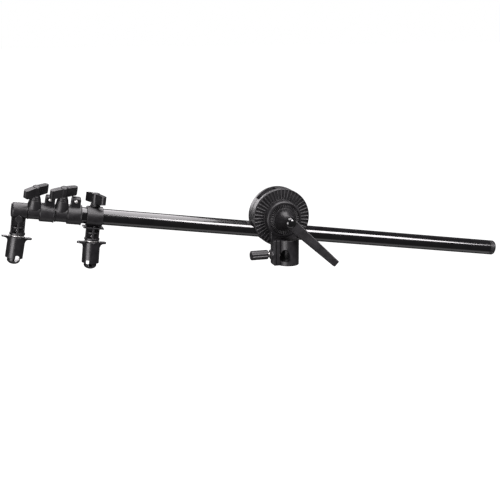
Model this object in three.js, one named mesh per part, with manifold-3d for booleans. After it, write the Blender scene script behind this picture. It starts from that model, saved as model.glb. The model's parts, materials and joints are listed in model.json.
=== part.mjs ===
// Reflector holder arm for a light stand: a clamping head on a stand bracket, a three-stage
// telescoping boom, and two sprung clips that hold a reflector by its rim.
// Millimetres, +Z up. The origin is the centre of the stand socket's mouth. The clamp bolt
// runs along Y with its lever on the -Y side, and the boom runs along X, tilted about the bolt.

import * as THREE from 'three';
import { mergeVertices } from 'three/addons/utils/BufferGeometryUtils.js';
import Module from 'manifold-3d';

const wasm = await Module();
wasm.setup();

// Driving dimensions
const outerTubeRadius = 11;
const middleTubeRadius = 9.5;
const innerTubeRadius = 8;
const tubeWall = 1;
const pivotHeight = 64.5; // bolt axis above the socket's mouth
const pivotSetback = 29; // plane of the boom behind the socket's axis
const tubeDrop = 21.5; // tube axis below the bolt axis
const headToSlider = 252.4; // bolt axis to the slider's near edge, along the boom
const tailLength = 346; // bolt axis to the outer tube's far end
const tubeOverlap = 50; // length of a stage that stays in the next one when drawn out
const boltRadius = 4;
const clearance = 0.3; // gap that touching pieces keep
const overrun = 2; // how far a cutter runs past the face it leaves
const boomTilt = THREE.MathUtils.degToRad(8.06);
const collarRoll = THREE.MathUtils.degToRad(17.4);
const quarterTurn = Math.PI / 2;

// Facets round a full circle
const wideSides = 48;
const roundSides = 24;
const smallSides = 10;
const arcSteps = 4;

const looks = {
  tube: { color: 0x151416, roughness: 0.22, metalness: 0.6 },
  head: { color: 0x2b2a2c, roughness: 0.6, metalness: 0 },
  moulding: { color: 0x343335, roughness: 0.65, metalness: 0 },
  grip: { color: 0x252426, roughness: 0.5, metalness: 0 },
  lever: { color: 0x1d1c1e, roughness: 0.5, metalness: 0.1 },
  gloss: { color: 0x101012, roughness: 0.12, metalness: 0.1 },
  nickel: { color: 0xc9c8c6, roughness: 0.25, metalness: 1 },
  steel: { color: 0x8d8c8a, roughness: 0.35, metalness: 1 },
  liner: { color: 0x1b1b1c, roughness: 0.7, metalness: 0 },
};

// A three.js geometry as a closed solid with shared vertices
function solid(geometry) {
  const bare = geometry.clone();
  bare.deleteAttribute('normal');
  bare.deleteAttribute('uv');
  const merged = mergeVertices(bare);
  const order = merged.index.array;
  const corners = [];
  for (let i = 0; i < order.length; i += 3) {
    const [a, b, c] = [order[i], order[i + 1], order[i + 2]];
    if (a !== b && b !== c && c !== a) corners.push(a, b, c);
  }
  const vertProperties = new Float32Array(merged.attributes.position.array);
  const triVerts = new Uint32Array(corners);
  return new wasm.Manifold(new wasm.Mesh({ numProp: 3, vertProperties, triVerts }));
}

function join(first, ...others) {
  return others.reduce((whole, next) => whole.add(next), first);
}

function cut(first, ...others) {
  return others.reduce((whole, next) => whole.subtract(next), first);
}

function piece(name, body, look) {
  const { vertProperties, triVerts } = body.getMesh();
  const geometry = new THREE.BufferGeometry();
  geometry.setAttribute('position', new THREE.BufferAttribute(vertProperties, 3));
  geometry.setIndex(new THREE.BufferAttribute(triVerts, 1));
  geometry.computeVertexNormals();
  const mesh = new THREE.Mesh(geometry, new THREE.MeshStandardMaterial(looks[look]));
  mesh.name = name;
  return mesh;
}

function group(position, ...children) {
  const holder = new THREE.Group();
  holder.position.set(...position);
  holder.add(...children);
  return holder;
}

// A turned form about +Z from [radius, height] pairs
function turned(profile, sides) {
  const points = profile.map(([radius, height]) => new THREE.Vector2(radius, height));
  if (THREE.ShapeUtils.area(points) < 0) points.reverse();
  return new THREE.LatheGeometry(points, sides).rotateX(quarterTurn);
}

function rod(radius, from, to, sides) {
  return turned([[0, from], [radius, from], [radius, to], [0, to]], sides);
}

function ring(inner, outer, from, to, sides) {
  return turned([[inner, from], [outer, from], [outer, to], [inner, to], [inner, from]], sides);
}

function block(low, high) {
  const size = high.map((value, axis) => value - low[axis]);
  const middle = high.map((value, axis) => (value + low[axis]) / 2);
  return new THREE.BoxGeometry(...size).translate(...middle);
}

// An outline in X and Y, drawn out along +Z
function prism(shape, from, to) {
  const options = { depth: to - from, bevelEnabled: false, curveSegments: arcSteps };
  return new THREE.ExtrudeGeometry(shape, options).translate(0, 0, from);
}

// An outline in X and Z, drawn out along Y
function uprightPrism(shape, from, to) {
  return prism(shape, -to, -from).rotateX(quarterTurn);
}

function polygon(points) {
  return new THREE.Shape(points.map(([x, y]) => new THREE.Vector2(x, y)));
}

// Turns a form made about +Z so that its axis runs along +X, or along +Y
const alongX = (geometry) => geometry.rotateY(quarterTurn);
const alongY = (geometry) => geometry.rotateX(-quarterTurn);

// Jaws: two alike ribbed discs that clamp the tube in facing grooves below the bolt
const jaw = {
  radius: 41.5,
  halfThickness: 13.7,
  ribHeight: 1.6,
  ribCount: 44,
  ribShare: 0.5,
  ribInner: 25.8,
  recessRadius: 24.8,
  ribOuter: 40.3,
  rimThickness: 6.2,
  partingGap: 0.6,
  slotInner: 24,
};
const slotFrom = THREE.MathUtils.degToRad(15);
const slotTo = THREE.MathUtils.degToRad(58);
const jawSeat = jaw.halfThickness - jaw.ribHeight; // plane of the jaw's middle, from the tube's

// Front jaw about the bolt axis: its ribs face -Y and its groove +Y
function makeJaw() {
  const disc = solid(alongY(rod(jaw.radius, -jaw.halfThickness, -jaw.partingGap, wideSides)));
  const boltHole = solid(
    alongY(rod(boltRadius + clearance, -jaw.halfThickness - overrun, overrun, smallSides)),
  );
  const reach = jaw.radius + overrun;
  const grooveRod = alongX(rod(outerTubeRadius + clearance, -reach, reach, roundSides));
  const tubeGroove = solid(grooveRod.translate(0, 0, -tubeDrop));
  const middleRecess = solid(
    alongY(rod(jaw.recessRadius, -jaw.halfThickness - overrun, -jawSeat, wideSides)),
  );
  const pitch = (2 * Math.PI) / jaw.ribCount;
  let body = cut(disc, boltHole, tubeGroove, middleRecess, ...jawSlots());
  for (let i = 0; i < jaw.ribCount; i += 1) {
    body = cut(body, ribPocket(i * pitch, (pitch * (1 - jaw.ribShare)) / 2));
  }
  return body;
}

// The open pockets between the jaws, on both sides of the ridge at the top
function jawSlots() {
  return [-1, 1].map((side) => {
    const from = quarterTurn + side * slotFrom;
    const to = quarterTurn + side * slotTo;
    const outline = sector(jaw.slotInner, jaw.radius + overrun, from, to);
    return solid(uprightPrism(outline, -jaw.halfThickness + jaw.rimThickness, overrun));
  });
}

function ribPocket(angle, halfAngle) {
  const outline = sector(jaw.ribInner, jaw.ribOuter, angle - halfAngle, angle + halfAngle);
  return solid(uprightPrism(outline, -jaw.halfThickness - overrun, -jawSeat));
}

// Part of a ring between two angles, with chords that keep the inner and outer radius
function sector(inner, outer, from, to) {
  const steps = Math.max(1, Math.round((Math.abs(to - from) * wideSides) / (2 * Math.PI)));
  const points = [];
  for (let i = 0; i <= steps; i += 1) {
    const angle = from + ((to - from) * i) / steps;
    points.push([inner * Math.cos(angle), inner * Math.sin(angle)]);
  }
  for (let i = steps; i >= 0; i -= 1) {
    const angle = from + ((to - from) * i) / steps;
    points.push([outer * Math.cos(angle), outer * Math.sin(angle)]);
  }
  return polygon(points);
}

// Stack on the bolt, from the front jaw's seat to the lever's cap
const frictionRing = { inner: 10, outer: 22.5, thickness: 1.2 };
const boss = { radius: 25.6, thickness: 13.1, bevel: 1.4 };
const thrustWasher = { outer: 12.6, thickness: 1.2 };
const bossBack = -jawSeat - frictionRing.thickness - 2 * clearance;
const bossFront = bossBack - boss.thickness;
const hubBase = bossFront - thrustWasher.thickness - 2 * clearance;

// Stand bracket: boss on the bolt, neck, and socket barrel with a flange for its screw
const socket = {
  boreRadius: 8.3,
  boreDepth: 33,
  barrelRadius: 15.6,
  barrelOffset: 4.4,
  height: 37,
  backClearance: 0.7,
  mouthChamfer: 0.8,
};
const flange = {
  reach: 19.3,
  depth: 15.6,
  chamfer: 1.6,
  grooveWidth: 1.5,
  grooveDepth: 1.2,
  firstGroove: 4.1,
  secondGroove: 9.9,
};
const neck = { halfWidth: 19.3, thickness: 9.6, lap: 3 };
const socketScrew = {
  height: 16,
  studRadius: 3,
  bossRadius: 7.8,
  bossHeight: 3.5,
  bossChamfer: 1.6,
  shoeRadius: 5,
  shoeThickness: 1.8,
  travel: 2.2,
  neckGap: 2.6,
};
const socketWindow = { left: -10.3, right: 2.9, bottom: 6.4, top: 24, crownShare: 0.3 };
const pivotBush = { wall: 1.4 };
const barrelBack = pivotSetback - jaw.halfThickness - socket.backClearance;
const bushRadius = boltRadius + clearance + pivotBush.wall;
const groovePlaces = [flange.firstGroove, flange.secondGroove].map((inset) => flange.reach - inset);

function makeStandBracket() {
  const toBolt = (geometry) => geometry.translate(0, pivotSetback, pivotHeight);
  const bossDisc = solid(
    toBolt(
      alongY(
        turned(
          [
            [0, bossFront],
            [boss.radius - boss.bevel, bossFront],
            [boss.radius, bossFront + boss.bevel],
            [boss.radius, bossBack],
            [0, bossBack],
          ],
          wideSides,
        ),
      ),
    ),
  );
  const neckBlock = solid(
    block(
      [-neck.halfWidth, barrelBack - neck.thickness, socket.height - neck.lap],
      [neck.halfWidth, barrelBack, pivotHeight - boss.radius / 2],
    ),
  );
  const barrel = solid(
    rod(socket.barrelRadius, 0, socket.height, roundSides).translate(socket.barrelOffset, 0, 0),
  );
  const flangeOutline = polygon([
    [0, 0],
    [-flange.reach + flange.chamfer, 0],
    [-flange.reach, flange.chamfer],
    [-flange.reach, socket.height],
    [0, socket.height],
  ]);
  const flangeBlock = solid(uprightPrism(flangeOutline, -flange.depth / 2, flange.depth / 2));
  const screwBoss = solid(
    alongX(
      turned(
        [
          [0, -flange.reach - socketScrew.bossHeight],
          [socketScrew.bossRadius - socketScrew.bossChamfer, -flange.reach - socketScrew.bossHeight],
          [
            socketScrew.bossRadius,
            -flange.reach - socketScrew.bossHeight + socketScrew.bossChamfer,
          ],
          [socketScrew.bossRadius, 0],
          [0, 0],
        ],
        smallSides,
      ),
    ).translate(0, 0, socketScrew.height),
  );
  const backTrim = solid(
    block(
      [-pivotSetback, barrelBack, -overrun],
      [pivotSetback, pivotSetback, socket.height + overrun],
    ),
  );
  const bore = solid(
    turned(
      [
        [0, -overrun],
        [socket.boreRadius + socket.mouthChamfer, -overrun],
        [socket.boreRadius + socket.mouthChamfer, 0],
        [socket.boreRadius, socket.mouthChamfer],
        [socket.boreRadius, socket.boreDepth],
        [0, socket.boreDepth],
      ],
      roundSides,
    ),
  );
  const screwHole = solid(
    alongX(rod(socketScrew.studRadius + clearance, -pivotSetback - overrun, 0, smallSides)).translate(
      0,
      0,
      socketScrew.height,
    ),
  );
  const shoePocket = solid(
    alongX(
      rod(
        socketScrew.shoeRadius + clearance,
        -socket.boreRadius - socketScrew.shoeThickness - socketScrew.travel - 2 * clearance,
        0,
        smallSides,
      ),
    ).translate(0, 0, socketScrew.height),
  );
  const boltHole = solid(
    toBolt(alongY(rod(bushRadius + clearance, bossFront - overrun, bossBack + overrun, smallSides))),
  );
  const grooves = groovePlaces.map((place) =>
    solid(
      block(
        [-place - flange.grooveWidth / 2, -flange.depth / 2 - overrun, -overrun],
        [
          -place + flange.grooveWidth / 2,
          -flange.depth / 2 + flange.grooveDepth,
          socket.height + overrun,
        ],
      ),
    ),
  );
  const body = join(cut(join(barrel, flangeBlock, screwBoss), backTrim), neckBlock, bossDisc);
  return cut(body, bore, screwHole, shoePocket, boltHole, windowCutter(), ...grooves);
}

// The arched window in the barrel's front
function windowCutter() {
  const { left, right, bottom, top, crownShare } = socketWindow;
  const width = right - left;
  const shoulder = bottom + (top - bottom) / 2;
  const outline = polygon([
    [left + (width * crownShare) / 2, bottom],
    [right - (width * crownShare) / 2, bottom],
    [right, bottom + (width * crownShare) / 2],
    [right, shoulder],
    [right - width * crownShare, top],
    [left + width * crownShare, top],
    [left, shoulder],
    [left, bottom + (width * crownShare) / 2],
  ]);
  return solid(uprightPrism(outline, -socket.barrelRadius - overrun, 0));
}

// Socket screw: shoe and stud slide along X, and the fluted grip turns on the stud
const screwGrip = { radius: 6.8, length: 25.6, flutes: 8, fluteDepth: 1.1, hold: 14, round: 1.8 };
const shoeFace = -socket.boreRadius - clearance;
const shoeBack = shoeFace - socketScrew.shoeThickness;
const screwBossFace = -flange.reach - socketScrew.bossHeight;
const gripFace = screwBossFace - socketScrew.neckGap;

function makeScrewGrip() {
  const end = gripFace - screwGrip.length;
  const profile = [
    [0, end],
    [screwGrip.radius - screwGrip.round, end],
    [screwGrip.radius, end + screwGrip.round],
    [screwGrip.radius, gripFace - screwGrip.round / 2],
    [screwGrip.radius - screwGrip.round / 2, gripFace],
    [0, gripFace],
  ];
  const barrel = solid(alongX(turned(profile, roundSides)));
  const hole = solid(
    alongX(
      rod(
        socketScrew.studRadius + clearance,
        gripFace - screwGrip.hold - clearance,
        gripFace + overrun,
        smallSides,
      ),
    ),
  );
  const flutes = [];
  for (let i = 0; i < screwGrip.flutes; i += 1) {
    const angle = (2 * Math.PI * (i + 1 / 2)) / screwGrip.flutes;
    const reach = screwGrip.radius + screwGrip.fluteDepth;
    const flute = alongX(
      rod(
        2 * screwGrip.fluteDepth,
        end - overrun,
        gripFace + overrun,
        smallSides / 2,
      ),
    );
    flutes.push(solid(flute.translate(0, reach * Math.cos(angle), reach * Math.sin(angle))));
  }
  return cut(barrel, hole, ...flutes);
}

function makeSocketScrew() {
  const stud = solid(
    alongX(
      rod(socketScrew.studRadius, gripFace - screwGrip.hold, shoeBack - clearance, smallSides),
    ),
  );
  const shoe = solid(alongX(rod(socketScrew.shoeRadius, shoeBack, shoeFace, smallSides)));
  return group(
    [0, 0, socketScrew.height],
    piece('socket_screw_shoe', shoe, 'nickel'),
    piece('socket_screw_stud', stud, 'nickel'),
    piece('socket_screw_grip', makeScrewGrip(), 'grip'),
  );
}

// Lever: bell-shaped hub on the bolt with an angled arm, a nut inside and a domed cap
const hub = {
  baseRadius: 14,
  tipRadius: 8.2,
  length: 24,
  flareShare: 0.85,
  waistShare: 0.55,
  wall: 1.2,
};
const nut = { radius: 7.5, height: 6.5, boltEnd: 7, sides: 6 };
const leverArm = {
  reach: 88,
  rootWidth: 16.4,
  tipWidth: 9.8,
  thickness: 8.4,
  leanAngle: 15,
  downAngle: 43.5,
  edge: 1.2,
};
const leverCap = { radius: 7.5, rim: 1, dome: 4.6 };
const hubTip = hubBase - hub.length;
const nutFace = hubBase - nut.height - clearance;
const boltTip = nutFace - nut.boltEnd;
const armLean = THREE.MathUtils.degToRad(leverArm.leanAngle);
const armDown = THREE.MathUtils.degToRad(leverArm.downAngle);

function makeLever() {
  const bell = new THREE.CubicBezierCurve(
    new THREE.Vector2(hub.baseRadius, hubBase),
    new THREE.Vector2(hub.baseRadius * hub.flareShare, hubBase - hub.length / 3),
    new THREE.Vector2(hub.tipRadius, hubBase - hub.length * hub.waistShare),
    new THREE.Vector2(hub.tipRadius, hubTip),
  );
  const profile = bell.getPoints(arcSteps).map((point) => [point.x, point.y]);
  const bellBody = solid(alongY(turned([[0, hubBase], ...profile, [0, hubTip]], roundSides)));
  const nutPocket = solid(
    alongY(rod(nut.radius + clearance, nutFace - clearance, hubBase + overrun, nut.sides)),
  );
  const boltHole = solid(
    alongY(rod(boltRadius + clearance, boltTip - clearance, hubBase + overrun, smallSides)),
  );
  return cut(join(bellBody, solid(armGeometry())), nutPocket, boltHole);
}

// The arm leaves the hub's upper half, leans forwards and points down to the right
function armGeometry() {
  const halfRoot = leverArm.rootWidth / 2;
  const halfTip = leverArm.tipWidth / 2;
  const length = leverArm.reach / Math.cos(armLean);
  const outline = polygon([
    [0, -halfRoot],
    [length, -halfTip],
    [length, halfTip],
    [0, halfRoot],
  ]);
  const options = {
    depth: leverArm.thickness - 2 * leverArm.edge,
    bevelThickness: leverArm.edge,
    bevelSize: leverArm.edge,
    bevelOffset: -leverArm.edge,
    bevelSegments: 1,
  };
  const bar = new THREE.ExtrudeGeometry(outline, options);
  bar.translate(0, 0, leverArm.edge);
  bar.rotateX(quarterTurn);
  bar.rotateZ(-armLean);
  const behindCap = hub.wall + hub.tipRadius * Math.tan(armLean);
  bar.translate(0, hubTip + leverArm.thickness + behindCap, 0);
  return bar.rotateY(armDown);
}

function makeLeverParts() {
  const nutBody = cut(
    solid(alongY(rod(nut.radius, nutFace, hubBase - clearance, nut.sides))),
    solid(alongY(rod(boltRadius + clearance, nutFace - overrun, hubBase + overrun, smallSides))),
  );
  const capFrom = hubTip - clearance;
  const dome = [];
  for (let i = 0; i <= arcSteps; i += 1) {
    const angle = (quarterTurn * i) / arcSteps;
    dome.push([
      leverCap.radius * Math.cos(angle),
      capFrom - leverCap.rim - leverCap.dome * Math.sin(angle),
    ]);
  }
  dome[arcSteps][0] = 0;
  const cap = solid(alongY(turned([[0, capFrom], [leverCap.radius, capFrom], ...dome], roundSides)));
  return [
    piece('clamp_lever', makeLever(), 'lever'),
    piece('lever_nut', nutBody, 'steel'),
    piece('lever_cap', cap, 'gloss'),
  ];
}

// Bolt, washers and bush on the pivot
const boltHead = { radius: 8.5, height: 4.6, rim: 1.2 };
const rearWasher = { outer: 12.5, thickness: 1.5 };
const headSeat = jawSeat + rearWasher.thickness + 2 * clearance;

function makeClampBolt() {
  const dome = [];
  for (let i = 0; i <= arcSteps; i += 1) {
    const angle = (quarterTurn * i) / arcSteps;
    dome.push([
      boltHead.radius * Math.cos(angle),
      headSeat + boltHead.rim + (boltHead.height - boltHead.rim) * Math.sin(angle),
    ]);
  }
  dome[arcSteps][0] = 0;
  const profile = [
    [0, boltTip],
    [boltRadius, boltTip],
    [boltRadius, headSeat],
    [boltHead.radius, headSeat],
    ...dome,
  ];
  return solid(alongY(turned(profile, smallSides)));
}

function pivotRing(inner, outer, from, to) {
  return solid(alongY(ring(inner, outer, from, to, roundSides)));
}

function makePivotParts() {
  const boltGap = boltRadius + clearance;
  const bush = pivotRing(boltGap, bushRadius, bossFront + clearance, bossBack - clearance);
  const friction = pivotRing(
    frictionRing.inner,
    frictionRing.outer,
    bossBack + clearance,
    -jawSeat - clearance,
  );
  const thrust = pivotRing(
    boltGap,
    thrustWasher.outer,
    bossFront - clearance - thrustWasher.thickness,
    bossFront - clearance,
  );
  return [
    piece('pivot_bush', bush, 'liner'),
    piece('friction_ring', friction, 'liner'),
    piece('thrust_washer', thrust, 'nickel'),
  ];
}

function makeHeadParts() {
  const rearJaw = piece('rear_jaw', makeJaw(), 'head');
  rearJaw.rotation.z = Math.PI;
  const rear = pivotRing(
    boltRadius + clearance,
    rearWasher.outer,
    jawSeat + clearance,
    jawSeat + clearance + rearWasher.thickness,
  );
  return [
    piece('front_jaw', makeJaw(), 'head'),
    rearJaw,
    piece('rear_washer', rear, 'nickel'),
    piece('clamp_bolt', makeClampBolt(), 'steel'),
  ];
}

// Places along the boom, from the bolt: the left end is negative
const slider = {
  radius: 13.5,
  length: 21.5,
  linerWall: 0.8,
  plateReach: 14,
  plateWidth: 20,
  plateDrop: 14.6,
  plateThickness: 1.5,
};
const sliderGap = 7; // bare tube between the slider and the second lock collar at rest
const stageGap = 1.3; // between the lock collars when the boom is closed
const elbowGap = 0.5;
const lip = { height: 0.6, length: 1.1 };
const shoulder = 2.4; // wall in a collar that the wider tube's end meets
const secondCollar = {
  neckRadius: 11.4,
  neckLength: 16.1,
  bodyRadius: 13.4,
  bodyLength: 18.9,
  bossTop: 21.4,
  earHole: 20.9,
  earShift: 0.2,
};
const firstCollar = {
  neckRadius: 10.5,
  neckLength: 15.4,
  bodyRadius: 12.7,
  bodyLength: 18.9,
  bossTop: 19.4,
  earHole: 20.4,
  earShift: 2.4,
};
const collarBoss = { baseRadius: 8.8, topRadius: 7.4 };
const ear = { baseHalf: 6.5, topHalf: 6.3, crown: 4.6, corner: 2.4, thickness: 9, slit: 1.4 };
const earScrew = {
  headRadius: 2.5,
  headHeight: 1.6,
  shankRadius: 1.6,
  nutRadius: 3.2,
  nutHeight: 2.4,
};
const elbow = { radius: 10.6, length: 21.2, endWall: 3, endRound: 1.4 };

const sliderFrom = -headToSlider - slider.length;
const secondTo = sliderFrom - sliderGap;
const secondFrom = secondTo - secondCollar.bodyLength - secondCollar.neckLength;
const firstTo = secondFrom - stageGap;
const firstFrom = firstTo - firstCollar.bodyLength - firstCollar.neckLength;
const elbowTo = firstFrom - elbowGap;
const elbowFrom = elbowTo - elbow.length;

// Neck over the drawn-out tube on the left, wider body on its own tube on the right
function makeLockCollar(sizes, bodyTubeRadius, neckTubeRadius) {
  const { neckRadius, neckLength, bodyRadius, bodyLength, bossTop, earHole } = sizes;
  const length = neckLength + bodyLength;
  const earPlace = earPlaceOn(sizes);
  const neckBore = neckTubeRadius + clearance;
  const bodyBore = bodyTubeRadius + clearance;
  const outside = solid(
    alongX(
      turned(
        [
          [0, 0],
          [neckRadius + lip.height, 0],
          [neckRadius + lip.height, lip.length],
          [neckRadius, lip.length],
          [neckRadius, neckLength],
          [bodyRadius, neckLength],
          [bodyRadius, length - lip.length],
          [bodyRadius + lip.height, length - lip.length],
          [bodyRadius + lip.height, length],
          [0, length],
        ],
        roundSides,
      ),
    ),
  );
  const inside = solid(
    alongX(
      turned(
        [
          [0, -overrun],
          [neckBore, -overrun],
          [neckBore, neckLength + shoulder],
          [bodyBore, neckLength + shoulder],
          [bodyBore, length + overrun],
          [0, length + overrun],
        ],
        roundSides,
      ),
    ),
  );
  const stem = turned(
    [[0, 0], [collarBoss.baseRadius, 0], [collarBoss.topRadius, bossTop], [0, bossTop]],
    smallSides,
  );
  const knobBoss = solid(stem.translate(neckLength / 2, 0, 0));
  const knobHole = solid(
    rod(knob.studRadius + clearance, 0, bossTop + overrun, smallSides).translate(
      neckLength / 2,
      0,
      0,
    ),
  );
  const earBody = solid(earGeometry(earHole).translate(earPlace, 0, 0));
  const slit = solid(
    block(
      [neckLength + shoulder, -ear.slit / 2, 0],
      [length + overrun, ear.slit / 2, earHole + ear.crown + overrun],
    ),
  );
  const crossHoles = [
    alongY(rod(earScrew.shankRadius + clearance, -bodyRadius, bodyRadius, smallSides)),
    alongY(rod(earScrew.headRadius + clearance, -bodyRadius, earHeadSeat, smallSides)),
  ].map((geometry) => solid(geometry.translate(earPlace, 0, earHole)));
  return cut(join(outside, knobBoss, earBody), inside, knobHole, slit, ...crossHoles);
}

const earHeadSeat = -ear.thickness / 2 + earScrew.headHeight + clearance;

function earPlaceOn(sizes) {
  return sizes.neckLength + sizes.bodyLength / 2 + sizes.earShift;
}

function earGeometry(holeHeight) {
  const top = holeHeight + ear.crown;
  const outline = new THREE.Shape();
  outline.moveTo(-ear.baseHalf, 0);
  outline.lineTo(ear.baseHalf, 0);
  outline.lineTo(ear.topHalf, top - ear.corner);
  outline.quadraticCurveTo(ear.topHalf, top, ear.topHalf - ear.corner, top);
  outline.lineTo(ear.corner - ear.topHalf, top);
  outline.quadraticCurveTo(-ear.topHalf, top, -ear.topHalf, top - ear.corner);
  return uprightPrism(outline, -ear.thickness / 2, ear.thickness / 2);
}

function makeEarScrew(number, place, height) {
  const seat = earHeadSeat - clearance;
  const nutFrom = ear.thickness / 2 + clearance;
  const profile = [
    [0, seat - earScrew.headHeight],
    [earScrew.headRadius, seat - earScrew.headHeight],
    [earScrew.headRadius, seat],
    [earScrew.shankRadius, seat],
    [earScrew.shankRadius, nutFrom + earScrew.nutHeight],
    [0, nutFrom + earScrew.nutHeight],
  ];
  const screw = solid(alongY(turned(profile, smallSides)));
  const hexRing = cut(
    solid(alongY(rod(earScrew.nutRadius, nutFrom, nutFrom + earScrew.nutHeight, nut.sides))),
    solid(
      alongY(
        rod(
          earScrew.shankRadius + clearance,
          nutFrom - overrun,
          nutFrom + earScrew.nutHeight + overrun,
          smallSides,
        ),
      ),
    ),
  );
  return group(
    [place, 0, height],
    piece(`collar_${number}_screw`, screw, 'nickel'),
    piece(`collar_${number}_nut`, hexRing, 'nickel'),
  );
}

// T-shaped locking knob, made about its own stud axis with the hub's foot at zero
const knob = {
  studRadius: 3,
  studHold: 11,
  barLength: 42,
  barWidth: 7.2,
  barHeight: 13,
  footRadius: 7.2,
  waistRadius: 6.2,
  hubHeight: 4.2,
  bumpRadius: 5.4,
  bumpHeight: 1,
  cornerRound: 4,
};

function makeKnobGrip() {
  const top = knob.hubHeight + knob.barHeight;
  const hubBody = solid(
    turned(
      [
        [0, 0],
        [knob.footRadius, 0],
        [knob.waistRadius, knob.hubHeight],
        [knob.bumpRadius, knob.hubHeight],
        [knob.bumpRadius, top],
        [knob.bumpRadius - knob.bumpHeight, top + knob.bumpHeight],
        [0, top + knob.bumpHeight],
      ],
      smallSides,
    ),
  );
  const half = knob.barLength / 2;
  const side = new THREE.Shape();
  side.moveTo(-half, top);
  side.lineTo(-half, knob.hubHeight + knob.cornerRound);
  side.quadraticCurveTo(-half, knob.hubHeight, -half + knob.cornerRound, knob.hubHeight);
  side.lineTo(half - knob.cornerRound, knob.hubHeight);
  side.quadraticCurveTo(half, knob.hubHeight, half, knob.hubHeight + knob.cornerRound);
  side.lineTo(half, top);
  const plan = new THREE.Shape();
  const straight = half - knob.barWidth / 2;
  plan.absarc(straight, 0, knob.barWidth / 2, -quarterTurn, quarterTurn, false);
  plan.absarc(-straight, 0, knob.barWidth / 2, quarterTurn, 3 * quarterTurn, false);
  const bar = solid(uprightPrism(side, -knob.barWidth, knob.barWidth)).intersect(
    solid(prism(plan, 0, top + overrun)),
  );
  const hole = solid(
    rod(knob.studRadius + clearance, -overrun, knob.studHold + clearance, smallSides),
  );
  return cut(join(hubBody, bar), hole);
}

// A knob whose stud ends just clear of what it presses on, turned by angle about its axis
function makeKnob(number, place, footHeight, tipHeight, angle) {
  const stud = solid(rod(knob.studRadius, tipHeight - footHeight, knob.studHold, smallSides));
  const grip = piece(`knob_${number}_grip`, makeKnobGrip(), 'grip');
  grip.rotation.z = angle;
  return group([place, 0, footHeight], piece(`knob_${number}_stud`, stud, 'steel'), grip);
}

// Clip leg: a cross-shaped post below a collar, with a mid plate and a round foot
const leg = {
  halfWidth: 9.3,
  wingThickness: 4.4,
  ribReach: 9.6,
  ribThickness: 2.6,
  platePlace: 22.4,
  plateThickness: 1.8,
  plateRadius: 9,
  footFrom: 29.8,
  footTo: 33,
  footRadius: 10.4,
  gussetRadius: 4.8,
};

function legBodies(from) {
  const wings = block(
    [-leg.halfWidth, -leg.wingThickness / 2, -leg.footTo],
    [leg.halfWidth, leg.wingThickness / 2, -from],
  );
  const ribs = block(
    [-leg.ribThickness / 2, -leg.ribReach, -leg.footTo],
    [leg.ribThickness / 2, leg.ribReach, -from],
  );
  const plate = rod(
    leg.plateRadius,
    -leg.platePlace - leg.plateThickness / 2,
    -leg.platePlace + leg.plateThickness / 2,
    roundSides,
  );
  const foot = rod(leg.footRadius, -leg.footTo, -leg.footFrom, roundSides);
  return [wings, ribs, plate, foot].map(solid);
}

// Swivel pin from the leg into the clip's core
const swivelPin = { radius: 2.5, fromShare: 0.5, length: 17, play: 0.7 };
const pinTop = -leg.footFrom * (1 - swivelPin.fromShare) - leg.platePlace * swivelPin.fromShare;
const pinHole = () =>
  solid(rod(swivelPin.radius + clearance, -leg.footTo - overrun, pinTop + clearance, smallSides));

function makeElbow() {
  const barrel = solid(
    alongX(
      turned(
        [
          [0, 0],
          [elbow.radius - elbow.endRound, 0],
          [elbow.radius, elbow.endRound],
          [elbow.radius, elbow.length],
          [0, elbow.length],
        ],
        roundSides,
      ).translate(0, 0, -elbow.length / 2),
    ),
  );
  const bore = solid(
    alongX(
      rod(innerTubeRadius + clearance, elbow.endWall, elbow.length + overrun, roundSides).translate(
        0,
        0,
        -elbow.length / 2,
      ),
    ),
  );
  const gusset = solid(
    alongY(rod(leg.gussetRadius, -leg.ribReach, leg.ribReach, smallSides)).translate(
      0,
      0,
      -elbow.radius,
    ),
  );
  return cut(join(barrel, gusset, ...legBodies(elbow.radius / 2)), bore, pinHole());
}

const linerInner = outerTubeRadius + clearance;
const linerOuter = linerInner + slider.linerWall;

function makeSlider() {
  const half = slider.length / 2;
  const collar = solid(alongX(rod(slider.radius, -half, half, roundSides)));
  const plate = solid(
    block(
      [-slider.plateReach, -slider.plateWidth / 2, -slider.plateDrop - slider.plateThickness],
      [slider.plateReach, slider.plateWidth / 2, -slider.plateDrop],
    ),
  );
  const bore = solid(
    alongX(rod(linerOuter + clearance, -half - overrun, half + overrun, roundSides)),
  );
  const knobHole = solid(
    rod(knob.studRadius + clearance, 0, slider.radius + overrun, smallSides),
  );
  const body = join(collar, plate, ...legBodies(slider.radius - lip.length));
  return cut(body, bore, knobHole, pinHole());
}

// Clip, made about its own swivel axis: s is the distance below the boom axis
const clip = {
  washerThickness: 1.1,
  washerRadius: 9.4,
  capRadius: 10.1,
  capThickness: 2.4,
  rodRadius: 4.5,
  headFrom: 58.2,
  neckRadius: 7.7,
  stopAt: 64.6,
  headStraight: 67.6,
  headTo: 73.2,
  headRadius: 8.7,
  sleeveFrom: 35.4,
  sleeveRadius: 11.7,
  sleeveWall: 0.9,
  guideFrom: 57.8,
  tabSpan: 40,
  tabWidth: 8.6,
  tabThickness: 2.4,
  notchFrom: -1.4,
  notchTo: 6.6,
  notchHeight: 3.2,
};
const hookSlot = {
  back: -1.6,
  floorEnd: 3.4,
  floor: 69,
  lip: 64.2,
  entryTop: 58.6,
  ceiling: 62.2,
};
const spring = { wireRadius: 0.65, curls: 6, stepsPerCurl: 8, sides: 5 };
const sleeveBore = clip.sleeveRadius - clip.sleeveWall;
const sleeveTo = clip.stopAt - clearance; // the sleeve rests on the head's shoulder
const guideBore = clip.neckRadius + clearance;
const coreTop = leg.footTo + clip.washerThickness + clearance + swivelPin.play;
const springFrom = coreTop + clip.capThickness + clearance;
const springTo = clip.guideFrom - clearance;

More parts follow.
